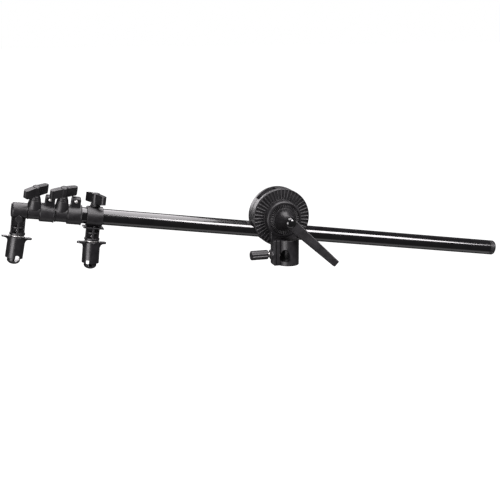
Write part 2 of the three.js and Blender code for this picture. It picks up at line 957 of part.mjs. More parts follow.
// The rod with its hook; the slot for the rim opens towards +X times side
function makeClipCore(side) {
  const dome = [];
  for (let i = 0; i <= arcSteps; i += 1) {
    const angle = (quarterTurn * i) / arcSteps;
    dome.push([
      clip.headRadius * Math.cos(angle),
      -clip.headStraight - (clip.headTo - clip.headStraight) * Math.sin(angle),
    ]);
  }
  dome[arcSteps][0] = 0;
  const outside = solid(
    turned(
      [
        [0, -coreTop],
        [clip.capRadius, -coreTop],
        [clip.capRadius, -coreTop - clip.capThickness],
        [clip.rodRadius, -coreTop - clip.capThickness],
        [clip.rodRadius, -clip.headFrom],
        [clip.neckRadius, -clip.headFrom],
        [clip.neckRadius, -clip.stopAt],
        [clip.headRadius, -clip.stopAt],
        ...dome,
      ],
      roundSides,
    ),
  );
  const pinBore = solid(
    rod(
      swivelPin.radius + clearance + swivelPin.play,
      pinTop - swivelPin.length - clearance,
      -coreTop + overrun,
      smallSides,
    ),
  );
  const edge = clip.headRadius + overrun;
  const outline = polygon([
    [side * hookSlot.back, -hookSlot.ceiling],
    [side * hookSlot.back, -hookSlot.floor],
    [side * hookSlot.floorEnd, -hookSlot.floor],
    [side * clip.headRadius, -hookSlot.lip],
    [side * edge, -hookSlot.lip],
    [side * edge, -hookSlot.entryTop],
    [side * clip.headRadius, -hookSlot.entryTop],
  ]);
  const slot = solid(uprightPrism(outline, -edge, edge));
  return cut(outside, pinBore, slot);
}

function makeClipSleeve(side) {
  const tube = solid(
    turned(
      [
        [sleeveBore, -clip.sleeveFrom],
        [clip.sleeveRadius, -clip.sleeveFrom],
        [clip.sleeveRadius, -sleeveTo],
        [guideBore, -sleeveTo],
        [guideBore, -clip.guideFrom],
        [sleeveBore, -clip.guideFrom],
        [sleeveBore, -clip.sleeveFrom],
      ],
      roundSides,
    ),
  );
  const plan = new THREE.Shape();
  const straight = (clip.tabSpan - clip.tabWidth) / 2;
  plan.absarc(straight, 0, clip.tabWidth / 2, -quarterTurn, quarterTurn, false);
  plan.absarc(-straight, 0, clip.tabWidth / 2, quarterTurn, 3 * quarterTurn, false);
  const tabs = solid(prism(plan, -clip.sleeveFrom - clip.tabThickness, -clip.sleeveFrom));
  const bore = solid(
    rod(sleeveBore, -clip.sleeveFrom - clip.tabThickness - overrun, 0, roundSides),
  );
  const from = side * clip.notchFrom;
  const to = side * clip.notchTo;
  const notch = solid(
    block(
      [Math.min(from, to), -clip.sleeveRadius - overrun, -sleeveTo - overrun],
      [Math.max(from, to), clip.sleeveRadius + overrun, -sleeveTo + clip.notchHeight],
    ),
  );
  return cut(join(tube, cut(tabs, bore)), notch);
}

// Coil of round wire between the core's cap and the sleeve's guide
class CoilCurve extends THREE.Curve {
  getPoint(share, target = new THREE.Vector3()) {
    const radius = clip.capRadius - clearance - spring.wireRadius;
    const top = -springFrom - spring.wireRadius;
    const bottom = -springTo + spring.wireRadius;
    const angle = 2 * Math.PI * spring.curls * share;
    return target.set(
      radius * Math.cos(angle),
      radius * Math.sin(angle),
      top + (bottom - top) * share,
    );
  }
}

function makeSpring() {
  const wire = new THREE.Shape();
  for (let i = 0; i < spring.sides; i += 1) {
    const angle = (2 * Math.PI * i) / spring.sides;
    const [x, y] = [spring.wireRadius * Math.cos(angle), spring.wireRadius * Math.sin(angle)];
    if (i === 0) wire.moveTo(x, y);
    else wire.lineTo(x, y);
  }
  const options = {
    steps: spring.curls * spring.stepsPerCurl,
    bevelEnabled: false,
    extrudePath: new CoilCurve(),
  };
  return solid(new THREE.ExtrudeGeometry(wire, options));
}

function makeClip(number, side) {
  const name = (part) => `clip_${number}_${part}`;
  const washer = ring(
    swivelPin.radius + clearance,
    clip.washerRadius,
    -leg.footTo - clearance - clip.washerThickness,
    -leg.footTo - clearance,
    roundSides,
  );
  const pin = rod(swivelPin.radius, pinTop - swivelPin.length, pinTop, smallSides);
  const fixed = [
    piece(name('washer'), solid(washer), 'nickel'),
    piece(name('swivel_pin'), solid(pin), 'steel'),
  ];
  const hung = [
    piece(name('core'), makeClipCore(side), 'moulding'),
    piece(name('spring'), makeSpring(), 'steel'),
    piece(name('sleeve'), makeClipSleeve(side), 'moulding'),
  ];
  return { fixed, hung };
}

// Tubes, guide bushes and plug
const guide = { length: 14, flangeLength: 4, wall: 1.2 };
const plug = { capLength: 8.6, insertLength: 16, wall: 2, round: 1.6 };

function stageTube(radius, from, to) {
  return solid(alongX(ring(radius - tubeWall, radius, from, to, roundSides)));
}

// Bush at the hidden end of a stage: a flange that guides it in the wider tube, and a plug
function guideBush(tubeRadius, guideRadius, tubeEnd) {
  const inner = tubeRadius - tubeWall - clearance;
  const bore = inner - guide.wall;
  const profile = [
    [bore, tubeEnd - guide.length + guide.flangeLength],
    [inner, tubeEnd - guide.length + guide.flangeLength],
    [inner, tubeEnd + clearance],
    [guideRadius, tubeEnd + clearance],
    [guideRadius, tubeEnd + guide.flangeLength],
    [bore, tubeEnd + guide.flangeLength],
    [bore, tubeEnd - guide.length + guide.flangeLength],
  ];
  return solid(alongX(turned(profile, roundSides)));
}

function endPlug() {
  const inner = outerTubeRadius - tubeWall - clearance;
  const from = tailLength + clearance;
  const end = from + plug.capLength;
  const profile = [
    [0, from],
    [inner - plug.wall, from],
    [inner - plug.wall, tailLength - plug.insertLength],
    [inner, tailLength - plug.insertLength],
    [inner, from],
    [outerTubeRadius, from],
    [outerTubeRadius, end - plug.round],
    [outerTubeRadius - plug.round, end],
    [0, end],
  ];
  return solid(alongX(turned(profile, roundSides)));
}

const outerFrom = secondFrom + secondCollar.neckLength + shoulder + clearance;
const middleFrom = firstFrom + firstCollar.neckLength + shoulder + clearance;
const innerFrom = elbowFrom + elbow.endWall + clearance;
const middleTo = tailLength - tubeOverlap;
const innerTo = middleTo - tubeOverlap;

const knobPlaces = [
  { place: firstCollar.neckLength / 2, foot: firstCollar.bossTop, tip: innerTubeRadius },
  { place: secondCollar.neckLength / 2, foot: secondCollar.bossTop, tip: middleTubeRadius },
  { place: 0, foot: slider.radius, tip: linerOuter },
];
const knobAngles = [41, 28.7, -62.5].map((degrees) => THREE.MathUtils.degToRad(degrees));

function knobOn(number) {
  const { place, foot, tip } = knobPlaces[number - 1];
  return makeKnob(number, place, foot + clearance, tip + clearance, knobAngles[number - 1]);
}

function makeCollarStage(number, from, sizes, bodyTubeRadius, neckTubeRadius) {
  const collar = makeLockCollar(sizes, bodyTubeRadius, neckTubeRadius);
  const stage = group(
    [from, 0, 0],
    piece(`lock_collar_${number}`, collar, 'moulding'),
    makeEarScrew(number, earPlaceOn(sizes), sizes.earHole),
    knobOn(number),
  );
  stage.rotation.x = collarRoll;
  return stage;
}

// A clip hangs from its leg's foot and leans a little in the swivel's play
const clipLeans = [3.3, -1.9].map((degrees) => THREE.MathUtils.degToRad(degrees));

function hungClip(number, place, side) {
  const { fixed, hung } = makeClip(number, side);
  const swivel = group([0, 0, -leg.footTo], group([0, 0, leg.footTo], ...hung));
  swivel.rotation.y = clipLeans[number - 1];
  return group([place, 0, 0], ...fixed, swivel);
}

function makeBoom() {
  const liner = ring(linerInner, linerOuter, -slider.length / 2, slider.length / 2, roundSides);
  const elbowPlace = elbowFrom + elbow.length / 2;
  const sliderPlace = sliderFrom + slider.length / 2;
  return group(
    [0, 0, -tubeDrop],
    piece('outer_tube', stageTube(outerTubeRadius, outerFrom, tailLength), 'tube'),
    piece('middle_tube', stageTube(middleTubeRadius, middleFrom, middleTo), 'tube'),
    piece('inner_tube', stageTube(innerTubeRadius, innerFrom, innerTo), 'tube'),
    piece('end_plug', endPlug(), 'moulding'),
    piece(
      'middle_guide',
      guideBush(middleTubeRadius, outerTubeRadius - tubeWall - clearance, middleTo),
      'liner',
    ),
    piece(
      'inner_guide',
      guideBush(innerTubeRadius, middleTubeRadius - tubeWall - clearance, innerTo),
      'liner',
    ),
    makeCollarStage(2, secondFrom, secondCollar, outerTubeRadius, middleTubeRadius),
    makeCollarStage(1, firstFrom, firstCollar, middleTubeRadius, innerTubeRadius),
    group([elbowPlace, 0, 0], piece('elbow', makeElbow(), 'moulding')),
    group(
      [sliderPlace, 0, 0],
      piece('slider_collar', makeSlider(), 'moulding'),
      piece('slider_liner', solid(alongX(liner)), 'liner'),
      knobOn(3),
    ),
    hungClip(1, elbowPlace, 1),
    hungClip(2, sliderPlace, -1),
  );
}

const head = group(
  [0, pivotSetback, pivotHeight],
  ...makePivotParts(),
  ...makeLeverParts(),
);
const boomAndJaws = group([0, pivotSetback, pivotHeight], ...makeHeadParts(), makeBoom());
boomAndJaws.rotation.y = boomTilt;

const arm = group(
  [0, 0, 0],
  piece('stand_bracket', makeStandBracket(), 'head'),
  makeSocketScrew(),
  head,
  boomAndJaws,
);
arm.name = 'reflector_holder_arm';

export default arm;
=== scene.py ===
import json
import math
from functools import partial

import bmesh
import bpy
from mathutils import Matrix, Vector


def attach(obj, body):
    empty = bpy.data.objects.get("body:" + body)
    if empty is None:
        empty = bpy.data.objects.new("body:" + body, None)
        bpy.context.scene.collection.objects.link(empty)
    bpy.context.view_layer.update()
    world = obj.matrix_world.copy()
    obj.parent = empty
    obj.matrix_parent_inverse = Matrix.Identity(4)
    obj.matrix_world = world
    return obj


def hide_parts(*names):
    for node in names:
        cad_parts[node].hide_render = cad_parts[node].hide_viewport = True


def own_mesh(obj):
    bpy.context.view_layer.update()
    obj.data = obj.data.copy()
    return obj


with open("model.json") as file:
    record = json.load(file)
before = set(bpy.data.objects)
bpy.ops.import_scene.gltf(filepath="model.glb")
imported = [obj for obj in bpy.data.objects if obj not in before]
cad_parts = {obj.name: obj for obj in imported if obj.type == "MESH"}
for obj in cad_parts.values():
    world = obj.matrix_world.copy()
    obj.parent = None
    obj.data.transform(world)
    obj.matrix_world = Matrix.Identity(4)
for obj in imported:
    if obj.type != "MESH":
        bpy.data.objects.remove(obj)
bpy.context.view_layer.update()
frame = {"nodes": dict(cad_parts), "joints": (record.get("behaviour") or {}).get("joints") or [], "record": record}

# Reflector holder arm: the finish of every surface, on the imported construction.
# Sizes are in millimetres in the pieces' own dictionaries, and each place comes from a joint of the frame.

mm = 0.001
quarter = math.pi / 2
overrun = 2.0  # how far a cutter passes the face it leaves
gap = 0.3  # between pieces that touch
tiny = 1e-6
weld = 0.01  # by this much two cutters in a row overlap
seam = 1e-4  # points nearer than this are one
flatAngle = 0.02  # in radians: faces that bend less than this become one
sharpAngle = 32  # in degrees: edges that bend more than this stay sharp to the eye
sideShare = 0.42  # the most of a side that the arc at its corner takes

joints = {joint["name"]: joint for joint in frame["joints"]}


def axisOf(name):
    return Vector(joints[name]["axis"]).normalized()


def pointOf(name):
    return Vector(joints[name]["pos_m"])


def frameAt(origin, across, up):
    # Millimetres in a piece's own axes to metres in the row's: across is its x and up its z
    away = up.cross(across)
    turn = Matrix((across, away, up)).transposed().to_4x4()
    return Matrix.Translation(origin) @ turn @ Matrix.Scale(mm, 4)


# The boom's axes: x along the boom from the bolt, y away from the lever's side, z up
boomAcross = axisOf("boom_roll")
boomUp = boomAcross.cross(Vector((0, 1, 0)))
boomFrame = frameAt(pointOf("boom_roll"), boomAcross, boomUp)

# A face frame looks at the head from the lever's side: x to the right, y up, z towards the eye
towards = Vector((0, -1, 0))
pivot = pointOf("boom_tilt")
faceFrame = frameAt(pivot, Vector((1, 0, 0)), towards)
tiltedFace = frameAt(pivot, boomAcross, towards)
rearFace = frameAt(pivot, -boomAcross, -towards)
socketFrame = Matrix.Scale(mm, 4)

print("frame ready", len(frame["nodes"]), "nodes")


# Mesh kit, all in millimetres

def meshOf(bm):
    bmesh.ops.recalc_face_normals(bm, faces=bm.faces)
    mesh = bpy.data.meshes.new("work")
    bm.to_mesh(mesh)
    bm.free()
    return mesh


def eased(points, radius, closed=False, steps=4, corner=20):
    # Rounds each corner of an outline that bends by more than the given degrees with a short arc
    count = len(points)
    result = []
    for i, here in enumerate(points):
        here = Vector(here)
        if not closed and i in (0, count - 1):
            result.append(here)
            continue
        before, after = Vector(points[i - 1]), Vector(points[(i + 1) % count])
        back, on = before - here, after - here
        if min(back.length, on.length) < tiny or math.pi - back.angle(on) < math.radians(corner):
            result.append(here)
            continue
        reach = min(radius, sideShare * back.length, sideShare * on.length)
        start, end = here + back.normalized() * reach, here + on.normalized() * reach
        for k in range(steps + 1):
            s = k / steps
            result.append(start * (1 - s) ** 2 + here * 2 * s * (1 - s) + end * s * s)
    return [tuple(p) for p in result]


def lathe(profile, sides=96, ring=False):
    # Turns a profile of (radius, height) about z; a ring closes on itself
    bm = bmesh.new()
    rows = []
    for radius, height in profile:
        if radius < tiny:
            rows.append([bm.verts.new((0, 0, height))])
            continue
        angles = [2 * math.pi * k / sides for k in range(sides)]
        rows.append([bm.verts.new((radius * math.cos(a), radius * math.sin(a), height)) for a in angles])
    pairs = list(zip(rows, rows[1:]))
    if ring:
        pairs.append((rows[-1], rows[0]))
    for low, high in pairs:
        for k in range(sides):
            n = (k + 1) % sides
            corners = [low[k % len(low)], low[n % len(low)], high[n % len(high)], high[k % len(high)]]
            unique = list(dict.fromkeys(corners))
            if len(unique) > 2:
                bm.faces.new(unique)
    return meshOf(bm)


def rod(radius, low, high, ease=0.0, sides=96):
    profile = [(0, low), (radius, low), (radius, high), (0, high)]
    return lathe(eased(profile, ease) if ease else profile, sides)


def tube(inner, outer, low, high, ease=0.0, sides=96):
    profile = [(inner, low), (outer, low), (outer, high), (inner, high)]
    return lathe(eased(profile, ease, closed=True) if ease else profile, sides, ring=True)


def soften(bm, width, angle=25, steps=3):
    edges = [e for e in bm.edges if e.is_manifold and e.calc_face_angle(0) > math.radians(angle)]
    bmesh.ops.bevel(bm, geom=edges, offset=width, segments=steps, profile=0.5, affect="EDGES",
                    clamp_overlap=True)


def softened(mesh, width, angle, steps):
    # The flat faces made whole again, and the edges between them rounded
    bm = bmesh.new()
    bm.from_mesh(mesh)
    bmesh.ops.dissolve_limit(bm, angle_limit=flatAngle, verts=bm.verts, edges=bm.edges)
    soften(bm, width, angle, steps)
    return meshOf(bm)


def prism(outline, low, high, ease=0.0):
    # An outline in x and y, drawn out along z
    bm = bmesh.new()
    face = bm.faces.new([bm.verts.new((x, y, low)) for x, y in outline])
    drawn = bmesh.ops.extrude_face_region(bm, geom=[face])
    up = [v for v in drawn["geom"] if isinstance(v, bmesh.types.BMVert)]
    bmesh.ops.translate(bm, verts=up, vec=(0, 0, high - low))
    bmesh.ops.recalc_face_normals(bm, faces=bm.faces)
    if ease:
        soften(bm, ease)
    return meshOf(bm)


def block(low, high, ease=0.0):
    outline = [(low[0], low[1]), (high[0], low[1]), (high[0], high[1]), (low[0], high[1])]
    return prism(outline, low[2], high[2], ease)


def arcPoints(centre, radius, start, end, steps=12):
    angles = [start + (end - start) * k / steps for k in range(steps + 1)]
    return [(centre[0] + radius * math.cos(a), centre[1] + radius * math.sin(a)) for a in angles]


def stadium(length, width, steps=14):
    # A bar with round ends along x
    shift = (length - width) / 2
    right = arcPoints((shift, 0), width / 2, -quarter, quarter, steps)
    return right + [(-x, -y) for x, y in right]


def turnedTo(mesh, axis):
    # A mesh made about z, laid along x or y
    mesh.transform(Matrix.Rotation(quarter, 4, "Y") if axis == "x" else Matrix.Rotation(-quarter, 4, "X"))
    return mesh


def moved(mesh, x=0.0, y=0.0, z=0.0):
    mesh.transform(Matrix.Translation((x, y, z)))
    return mesh


def crossRod(axis, radius, low, high, place=(0, 0, 0), ease=0.0, sides=96):
    # A rod laid along x or y through a place
    return moved(turnedTo(rod(radius, low, high, ease, sides), axis), *place)


def upright(mesh):
    # A prism made in x and y, stood up so that its outline lies in x and z
    mesh.transform(Matrix.Rotation(quarter, 4, "X"))
    return mesh


def asObject(mesh, name="work"):
    made = bpy.data.objects.new(name, mesh)
    bpy.context.scene.collection.objects.link(made)
    return made


def evaluatedMesh(obj):
    graph = bpy.context.evaluated_depsgraph_get()
    return bpy.data.meshes.new_from_object(obj.evaluated_get(graph), depsgraph=graph)


def combined(base, others, operation):
    body = asObject(base)
    tools = [asObject(other) for other in others]
    for tool in tools:
        step = body.modifiers.new("step", "BOOLEAN")
        step.operation = operation
        step.solver = "MANIFOLD"
        step.object = tool
    result = evaluatedMesh(body)
    for used in [body, *tools]:
        bpy.data.objects.remove(used)
    return result


def joined(*meshes):
    # Several closed bodies in one mesh
    bm = bmesh.new()
    for mesh in meshes:
        bm.from_mesh(mesh)
    return meshOf(bm)


def fused(base, *others):
    return combined(base, others, "UNION")


def carved(base, *cutters):
    return combined(base, cutters, "DIFFERENCE")


# Material kit

def linear(hexColour):
    parts = [int(hexColour[k:k + 2], 16) / 255 for k in (1, 3, 5)]
    return [c / 12.92 if c <= 0.04045 else ((c + 0.055) / 1.055) ** 2.4 for c in parts] + [1]


def addNode(tree, kind, settings=None, links=None):
    node = tree.nodes.new(kind)
    for key, value in (settings or {}).items():
        if isinstance(key, str) and hasattr(node, key):
            setattr(node, key, value)
        else:
            node.inputs[key].default_value = value
    for key, source in (links or {}).items():
        tree.links.new(source, node.inputs[key])
    return node


def newMaterial(name):
    made = bpy.data.materials.new(name)
    made.use_nodes = True
    tree = made.node_tree
    shader = tree.nodes["Principled BSDF"]
    place = addNode(tree, "ShaderNodeTexCoord").outputs["Object"]
    return made, tree, shader, place


def ramp(tree, source, low, high, fromLow=0.3, fromHigh=0.7):
    limits = {"From Min": fromLow, "From Max": fromHigh, "To Min": low, "To Max": high}
    return addNode(tree, "ShaderNodeMapRange", limits, {"Value": source}).outputs["Result"]


def twoTone(tree, source, dark, light, fromLow=0.35, fromHigh=0.65):
    share = ramp(tree, source, 0, 1, fromLow, fromHigh)
    mix = addNode(tree, "ShaderNodeMix", {"data_type": "RGBA"}, {"Factor": share})
    mix.inputs["A"].default_value = linear(dark)
    mix.inputs["B"].default_value = linear(light)
    return mix.outputs["Result"]


def noise(tree, place, size, detail=2.0, roughness=0.5):
    # size is the real distance between blotches, in millimetres
    settings = {"Scale": 1 / (size * mm), "Detail": detail, "Roughness": roughness}
    return addNode(tree, "ShaderNodeTexNoise", settings, {"Vector": place}).outputs["Fac"]


def bump(tree, shader, height, depth, strength=1.0):
    # depth is the real height of the relief, in millimetres
    made = addNode(tree, "ShaderNodeBump", {"Strength": strength, "Distance": depth * mm}, {"Height": height})
    tree.links.new(made.outputs["Normal"], shader.inputs["Normal"])


# The real sizes of each texture in millimetres, with the tones and the roughness between which it varies
moulded = {
    "grain": 0.55,  # spark texture, drawn coarser than the real 0.1 mm so that it shows
    "grainDepth": 0.035, "cloud": 9.0, "spread": (-0.05, 0.06),
}
paint = {"haze": (14.0, 3.0), "tones": ("#060507", "#0a090b"), "rough": (0.12, 0.19), "coat": (0.7, 0.06),
         "peel": 6.0, "peelDepth": 0.0004}
polish = {"haze": (3.0, 2.0), "tones": ("#070708", "#0c0c0d"), "rough": (0.05, 0.11), "coat": (0.6, 0.04)}
nickel = {"marks": (0.8, 4.0, 0.7), "tones": ("#dddbd8", "#f2f1ef"), "rough": (0.42, 0.54), "depth": 0.012}
zinc = {"marks": (1.6, 4.0, 0.6), "tones": ("#85858a", "#a9a8a6"), "rough": (0.24, 0.42), "depth": 0.01}


def clouded(name, cloud, tones, rough):
    # A material whose tone and roughness follow one noise
    made, tree, shader, place = newMaterial(name)
    share = noise(tree, place, *cloud)
    tree.links.new(twoTone(tree, share, *tones), shader.inputs["Base Color"])
    tree.links.new(ramp(tree, share, *rough), shader.inputs["Roughness"])
    return made, tree, shader, place, share


def mouldedNylon(name, dark, light, rough, gloss=0.5):
    # Glass-filled nylon off a spark-textured mould: an even, fine matt grain with soft, cloudy tone
    low, high = moulded["spread"]
    cloud = (moulded["cloud"], 3.0)
    made, tree, shader, place, _ = clouded(name, cloud, (dark, light), (rough + low, rough + high))
    bump(tree, shader, noise(tree, place, moulded["grain"], 3.0, 0.6), moulded["grainDepth"])
    shader.inputs["Specular IOR Level"].default_value = gloss
    return made


def coated(name, look):
    # Near-black under a clear coat: crisp lines and spots of light, a faint haze and, on paint, a faint peel
    made, tree, shader, place, _ = clouded(name, look["haze"], look["tones"], look["rough"])
    if "peel" in look:
        bump(tree, shader, noise(tree, place, look["peel"], 1.0), look["peelDepth"])
    for socket, value in zip(("Coat Weight", "Coat Roughness"), look["coat"]):
        shader.inputs[socket].default_value = value
    return made


def platedMetal(name, look):
    # Plate over turned steel: a mottled bloom and fine turning marks, pale for nickel and greyer for zinc
    made, tree, shader, _, marks = clouded(name, look["marks"], look["tones"], look["rough"])
    bump(tree, shader, marks, look["depth"])
    shader.inputs["Metallic"].default_value = 1.0
    return made


finish = {
    "tube": coated("glossBlackPaint", paint),
    "head": mouldedNylon("headNylon", "#161517", "#1d1c1e", 0.42),
    "moulding": mouldedNylon("collarNylon", "#141315", "#1b1a1c", 0.38),
    "sleeve": mouldedNylon("sleeveNylon", "#131214", "#19181a", 0.32),
    "grip": mouldedNylon("knobNylon", "#0f0e10", "#151416", 0.4),
    "lever": mouldedNylon("leverNylon", "#121113", "#19181a", 0.38, 0.4),
    "gloss": coated("polishedAbs", polish),
    "nickel": platedMetal("nickelPlate", nickel),
    "steel": platedMetal("zincSteel", zinc),
    "liner": mouldedNylon("acetalLiner", "#141415", "#1c1c1d", 0.5),
}
print("materials ready", len(finish))


def finished(mesh, name, nodes, body, slot, place=None, look=None):
    # Names the piece, puts it in the row's frame and hands it to the frame
    if place is not None:
        mesh.transform(place)
    piece = asObject(mesh, name)
    mesh.name = name
    mesh.materials.clear()
    mesh.materials.append(finish[look or slot])
    mesh.shade_smooth()
    mesh.set_sharp_from_angle(angle=math.radians(sharpAngle))
    even = piece.modifiers.new("evenNormals", "WEIGHTED_NORMAL")
    even.keep_sharp = True
    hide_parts(*nodes)
    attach(piece, body)
    return piece


# Geometry node trees

def newTree(name, **inputs):
    # A tree whose inputs are the geometry, the values with their defaults, and the material
    tree = bpy.data.node_groups.new(name, "GeometryNodeTree")
    tree.interface.new_socket("Geometry", in_out="INPUT", socket_type="NodeSocketGeometry")
    tree.interface.new_socket("Geometry", in_out="OUTPUT", socket_type="NodeSocketGeometry")
    for label, default in inputs.items():
        kind = "NodeSocketInt" if isinstance(default, int) else "NodeSocketFloat"
        tree.interface.new_socket(label, in_out="INPUT", socket_type=kind).default_value = default
    tree.interface.new_socket("Material", in_out="INPUT", socket_type="NodeSocketMaterial")
    return tree, addNode(tree, "NodeGroupInput").outputs


def calc(tree, operation, *values):
    node = addNode(tree, "ShaderNodeMath", {"operation": operation})
    for k, value in enumerate(values):
        if isinstance(value, (int, float)):
            node.inputs[k].default_value = value
        else:
            tree.links.new(value, node.inputs[k])
    return node.outputs[0]


def sums(tree):
    return [partial(calc, tree, name) for name in ("ADD", "SUBTRACT", "MULTIPLY", "DIVIDE")]


def xyz(tree, **links):
    return addNode(tree, "ShaderNodeCombineXYZ", links=links).outputs[0]


def positionOf(tree):
    at = addNode(tree, "GeometryNodeInputPosition")
    return addNode(tree, "ShaderNodeSeparateXYZ", links={0: at.outputs[0]}).outputs


def closeTree(tree, given, part):
    # Joins what was made to the body that came in, realized and in one material
    joint = addNode(tree, "GeometryNodeJoinGeometry")
    for each in (given["Geometry"], part.outputs[0]):
        tree.links.new(each, joint.inputs[0])
    real = addNode(tree, "GeometryNodeRealizeInstances", links={0: joint.outputs[0]})
    painted = addNode(tree, "GeometryNodeSetMaterial", links={
        0: real.outputs[0], "Material": given["Material"]})
    addNode(tree, "NodeGroupOutput", links={0: painted.outputs[0]})
    return tree


def ribRingTree():
    # Wedge ribs round z: each runs outwards, and is crowned across its width
    tree, given = newTree("ribRing", Count=44, Inner=1.0, Outer=2.0, Width=1.0, Height=1.0, Floor=0.0,
                          Sink=0.3, Crown=0.9)
    add, less, times, over = sums(tree)
    size = xyz(tree, X=less(given["Outer"], given["Inner"]), Y=given["Width"], Z=given["Height"])
    cells = {"Vertices X": 4, "Vertices Y": 9, "Vertices Z": 2}
    bar = addNode(tree, "GeometryNodeMeshCube", cells, {"Size": size})
    at = positionOf(tree)
    x = add(at["X"], times(add(given["Inner"], given["Outer"]), 0.5))
    y = times(at["Y"], over(x, given["Outer"]))
    share = over(times(at["Y"], 2), given["Width"])
    dip = times(times(share, share), given["Crown"])
    top = times(given["Height"], calc(tree, "SQRT", calc(tree, "MAXIMUM", less(1, dip), 0)))
    above = calc(tree, "GREATER_THAN", at["Z"], 0)
    lift = less(times(above, top), times(less(1, above), given["Sink"]))
    shaped = xyz(tree, X=x, Y=y, Z=add(given["Floor"], lift))
    rib = addNode(tree, "GeometryNodeSetPosition", links={0: bar.outputs[0], "Position": shaped})
    spots = addNode(tree, "GeometryNodePoints", links={"Count": given["Count"]})
    index = addNode(tree, "GeometryNodeInputIndex").outputs[0]
    turn = xyz(tree, Z=times(index, over(2 * math.pi, given["Count"])))
    return closeTree(tree, given, addNode(tree, "GeometryNodeInstanceOnPoints", links={
        "Points": spots.outputs[0], "Instance": rib.outputs[0], "Rotation": turn}))


def helixTree():
    # A wire or a thread's ridge wound about z
    tree, given = newTree("helix", Radius=1.0, Height=1.0, Turns=5.0, Wire=0.2, Sides=12, Steps=32, Base=0.0)
    path = addNode(tree, "GeometryNodeCurveSpiral", links={
        "Resolution": given["Steps"], "Rotations": given["Turns"], "Start Radius": given["Radius"],
        "End Radius": given["Radius"], "Height": given["Height"]})
    section = addNode(tree, "GeometryNodeCurvePrimitiveCircle", links={
        "Resolution": given["Sides"], "Radius": given["Wire"]})
    wound = addNode(tree, "GeometryNodeCurveToMesh", {"Fill Caps": True}, {
        "Curve": path.outputs[0], "Profile Curve": section.outputs[0]})
    return closeTree(tree, given, addNode(tree, "GeometryNodeTransform", links={
        0: wound.outputs[0], "Translation": xyz(tree, Z=given["Base"])}))


def flutedTree():
    # A grip along z whose side is drawn in by round flutes that fade at both ends
    tree, given = newTree("fluted", Radius=6.8, Length=25.0, Flutes=8, Depth=1.0, Fade=2.0, Ease=1.5,
                          Sharpness=1.6)
    add, less, times, over = sums(tree)
    fine = {"Vertices": 128, "Side Segments": 40, "Fill Segments": 6}
    size = {"Radius": given["Radius"], "Depth": given["Length"]}
    body = addNode(tree, "GeometryNodeMeshCylinder", fine, size)
    at = positionOf(tree)
    wave = calc(tree, "COSINE", times(calc(tree, "ARCTAN2", at["Y"], at["X"]), given["Flutes"]))
    hollow = calc(tree, "POWER", times(add(wave, 1), 0.5), given["Sharpness"])
    inset = less(times(given["Length"], 0.5), calc(tree, "ABSOLUTE", at["Z"]))
    near = calc(tree, "MINIMUM", over(inset, given["Fade"]), 1)
    cutIn = times(times(hollow, near), given["Depth"])
    share = over(calc(tree, "MAXIMUM", less(given["Ease"], inset), 0), given["Ease"])
    # A hair over one, so that the root at the very end never sees less than nothing
    rounded = less(1, calc(tree, "SQRT", less(1.0001, times(share, share))))
    scale = less(1, over(add(cutIn, times(rounded, given["Ease"])), given["Radius"]))
    shaped = xyz(tree, X=times(at["X"], scale), Y=times(at["Y"], scale), Z=at["Z"])
    return closeTree(tree, given, addNode(tree, "GeometryNodeSetPosition", links={
        0: body.outputs[0], "Position": shaped}))


trees = {"ribs": ribRingTree(), "helix": helixTree(), "fluted": flutedTree()}


def grown(mesh, tree, slot, **values):
    # The body with what a tree adds to it, as a plain mesh
    body = asObject(mesh)
    grow = body.modifiers.new("grow", "NODES")
    grow.node_group = trees[tree]
    sockets = {s.name: s.identifier for s in trees[tree].interface.items_tree if s.in_out == "INPUT"}
    for label, value in values.items():
        grow[sockets[label]] = value
    grow[sockets["Material"]] = finish[slot]
    result = evaluatedMesh(body)
    bpy.data.objects.remove(body)
    return result


def emptyMesh():
    return bpy.data.meshes.new("empty")


print("node trees ready", len(trees))


# Tubes and end plug
tubeWall, tubeEase = 1.0, 0.3
tubes = {
    "outer": {"radius": 11.0, "from": -297.1, "to": 346.0},
    "middle": {"radius": 9.5, "from": -333.4, "to": 296.0},
    "inner": {"radius": 8.0, "from": -369.9, "to": 246.0},
}
plug = {
    "cap": 8.6, "insert": 16.0, "wall": 2.0, "web": 2.0, "grooveShare": 0.3, "grooveDepth": 0.35,
    "slope": 0.3, "grooveFloor": 0.6, "rim": 1.7, "bevel": 0.5, "dish": 6.5, "dishDepth": 0.6, "ease": 0.35,
}


def plugMesh():
    p, outer = plug, tubes["outer"]
    radius, inside = outer["radius"], outer["radius"] - tubeWall - gap
    hollow, start, tip = inside - p["wall"], outer["to"] + gap, outer["to"] - p["insert"]
    end = start + p["cap"]
    groove = start + p["cap"] * p["grooveShare"]
    floor, onward = radius - p["grooveDepth"], groove + p["slope"] + p["grooveFloor"]
    bevel, dish = p["bevel"], end - p["dishDepth"]
    return lathe(eased([
        (0, start + p["web"]), (hollow, start + p["web"]), (hollow, tip), (inside, tip), (inside, start),
        (radius, start), (radius, groove), (floor, groove + p["slope"]), (floor, onward),
        (radius, onward + p["slope"]), (radius, end - p["rim"]), (radius - bevel, end - bevel),
        (radius - p["rim"], end), (p["dish"], end), (p["dish"] - bevel, dish), (0, dish),
    ], p["ease"]))


for name, size in tubes.items():
    skin = tube(size["radius"] - tubeWall, size["radius"], size["from"], size["to"], tubeEase, 128)
    finished(turnedTo(skin, "x"), name + "TubeSkin", [name + "_tube"], name + "_boom", "tube", boomFrame)
finished(turnedTo(plugMesh(), "x"), "tubeEndPlug", ["end_plug"], "boom_carrier", "moulding", boomFrame)
print("tubes ready")


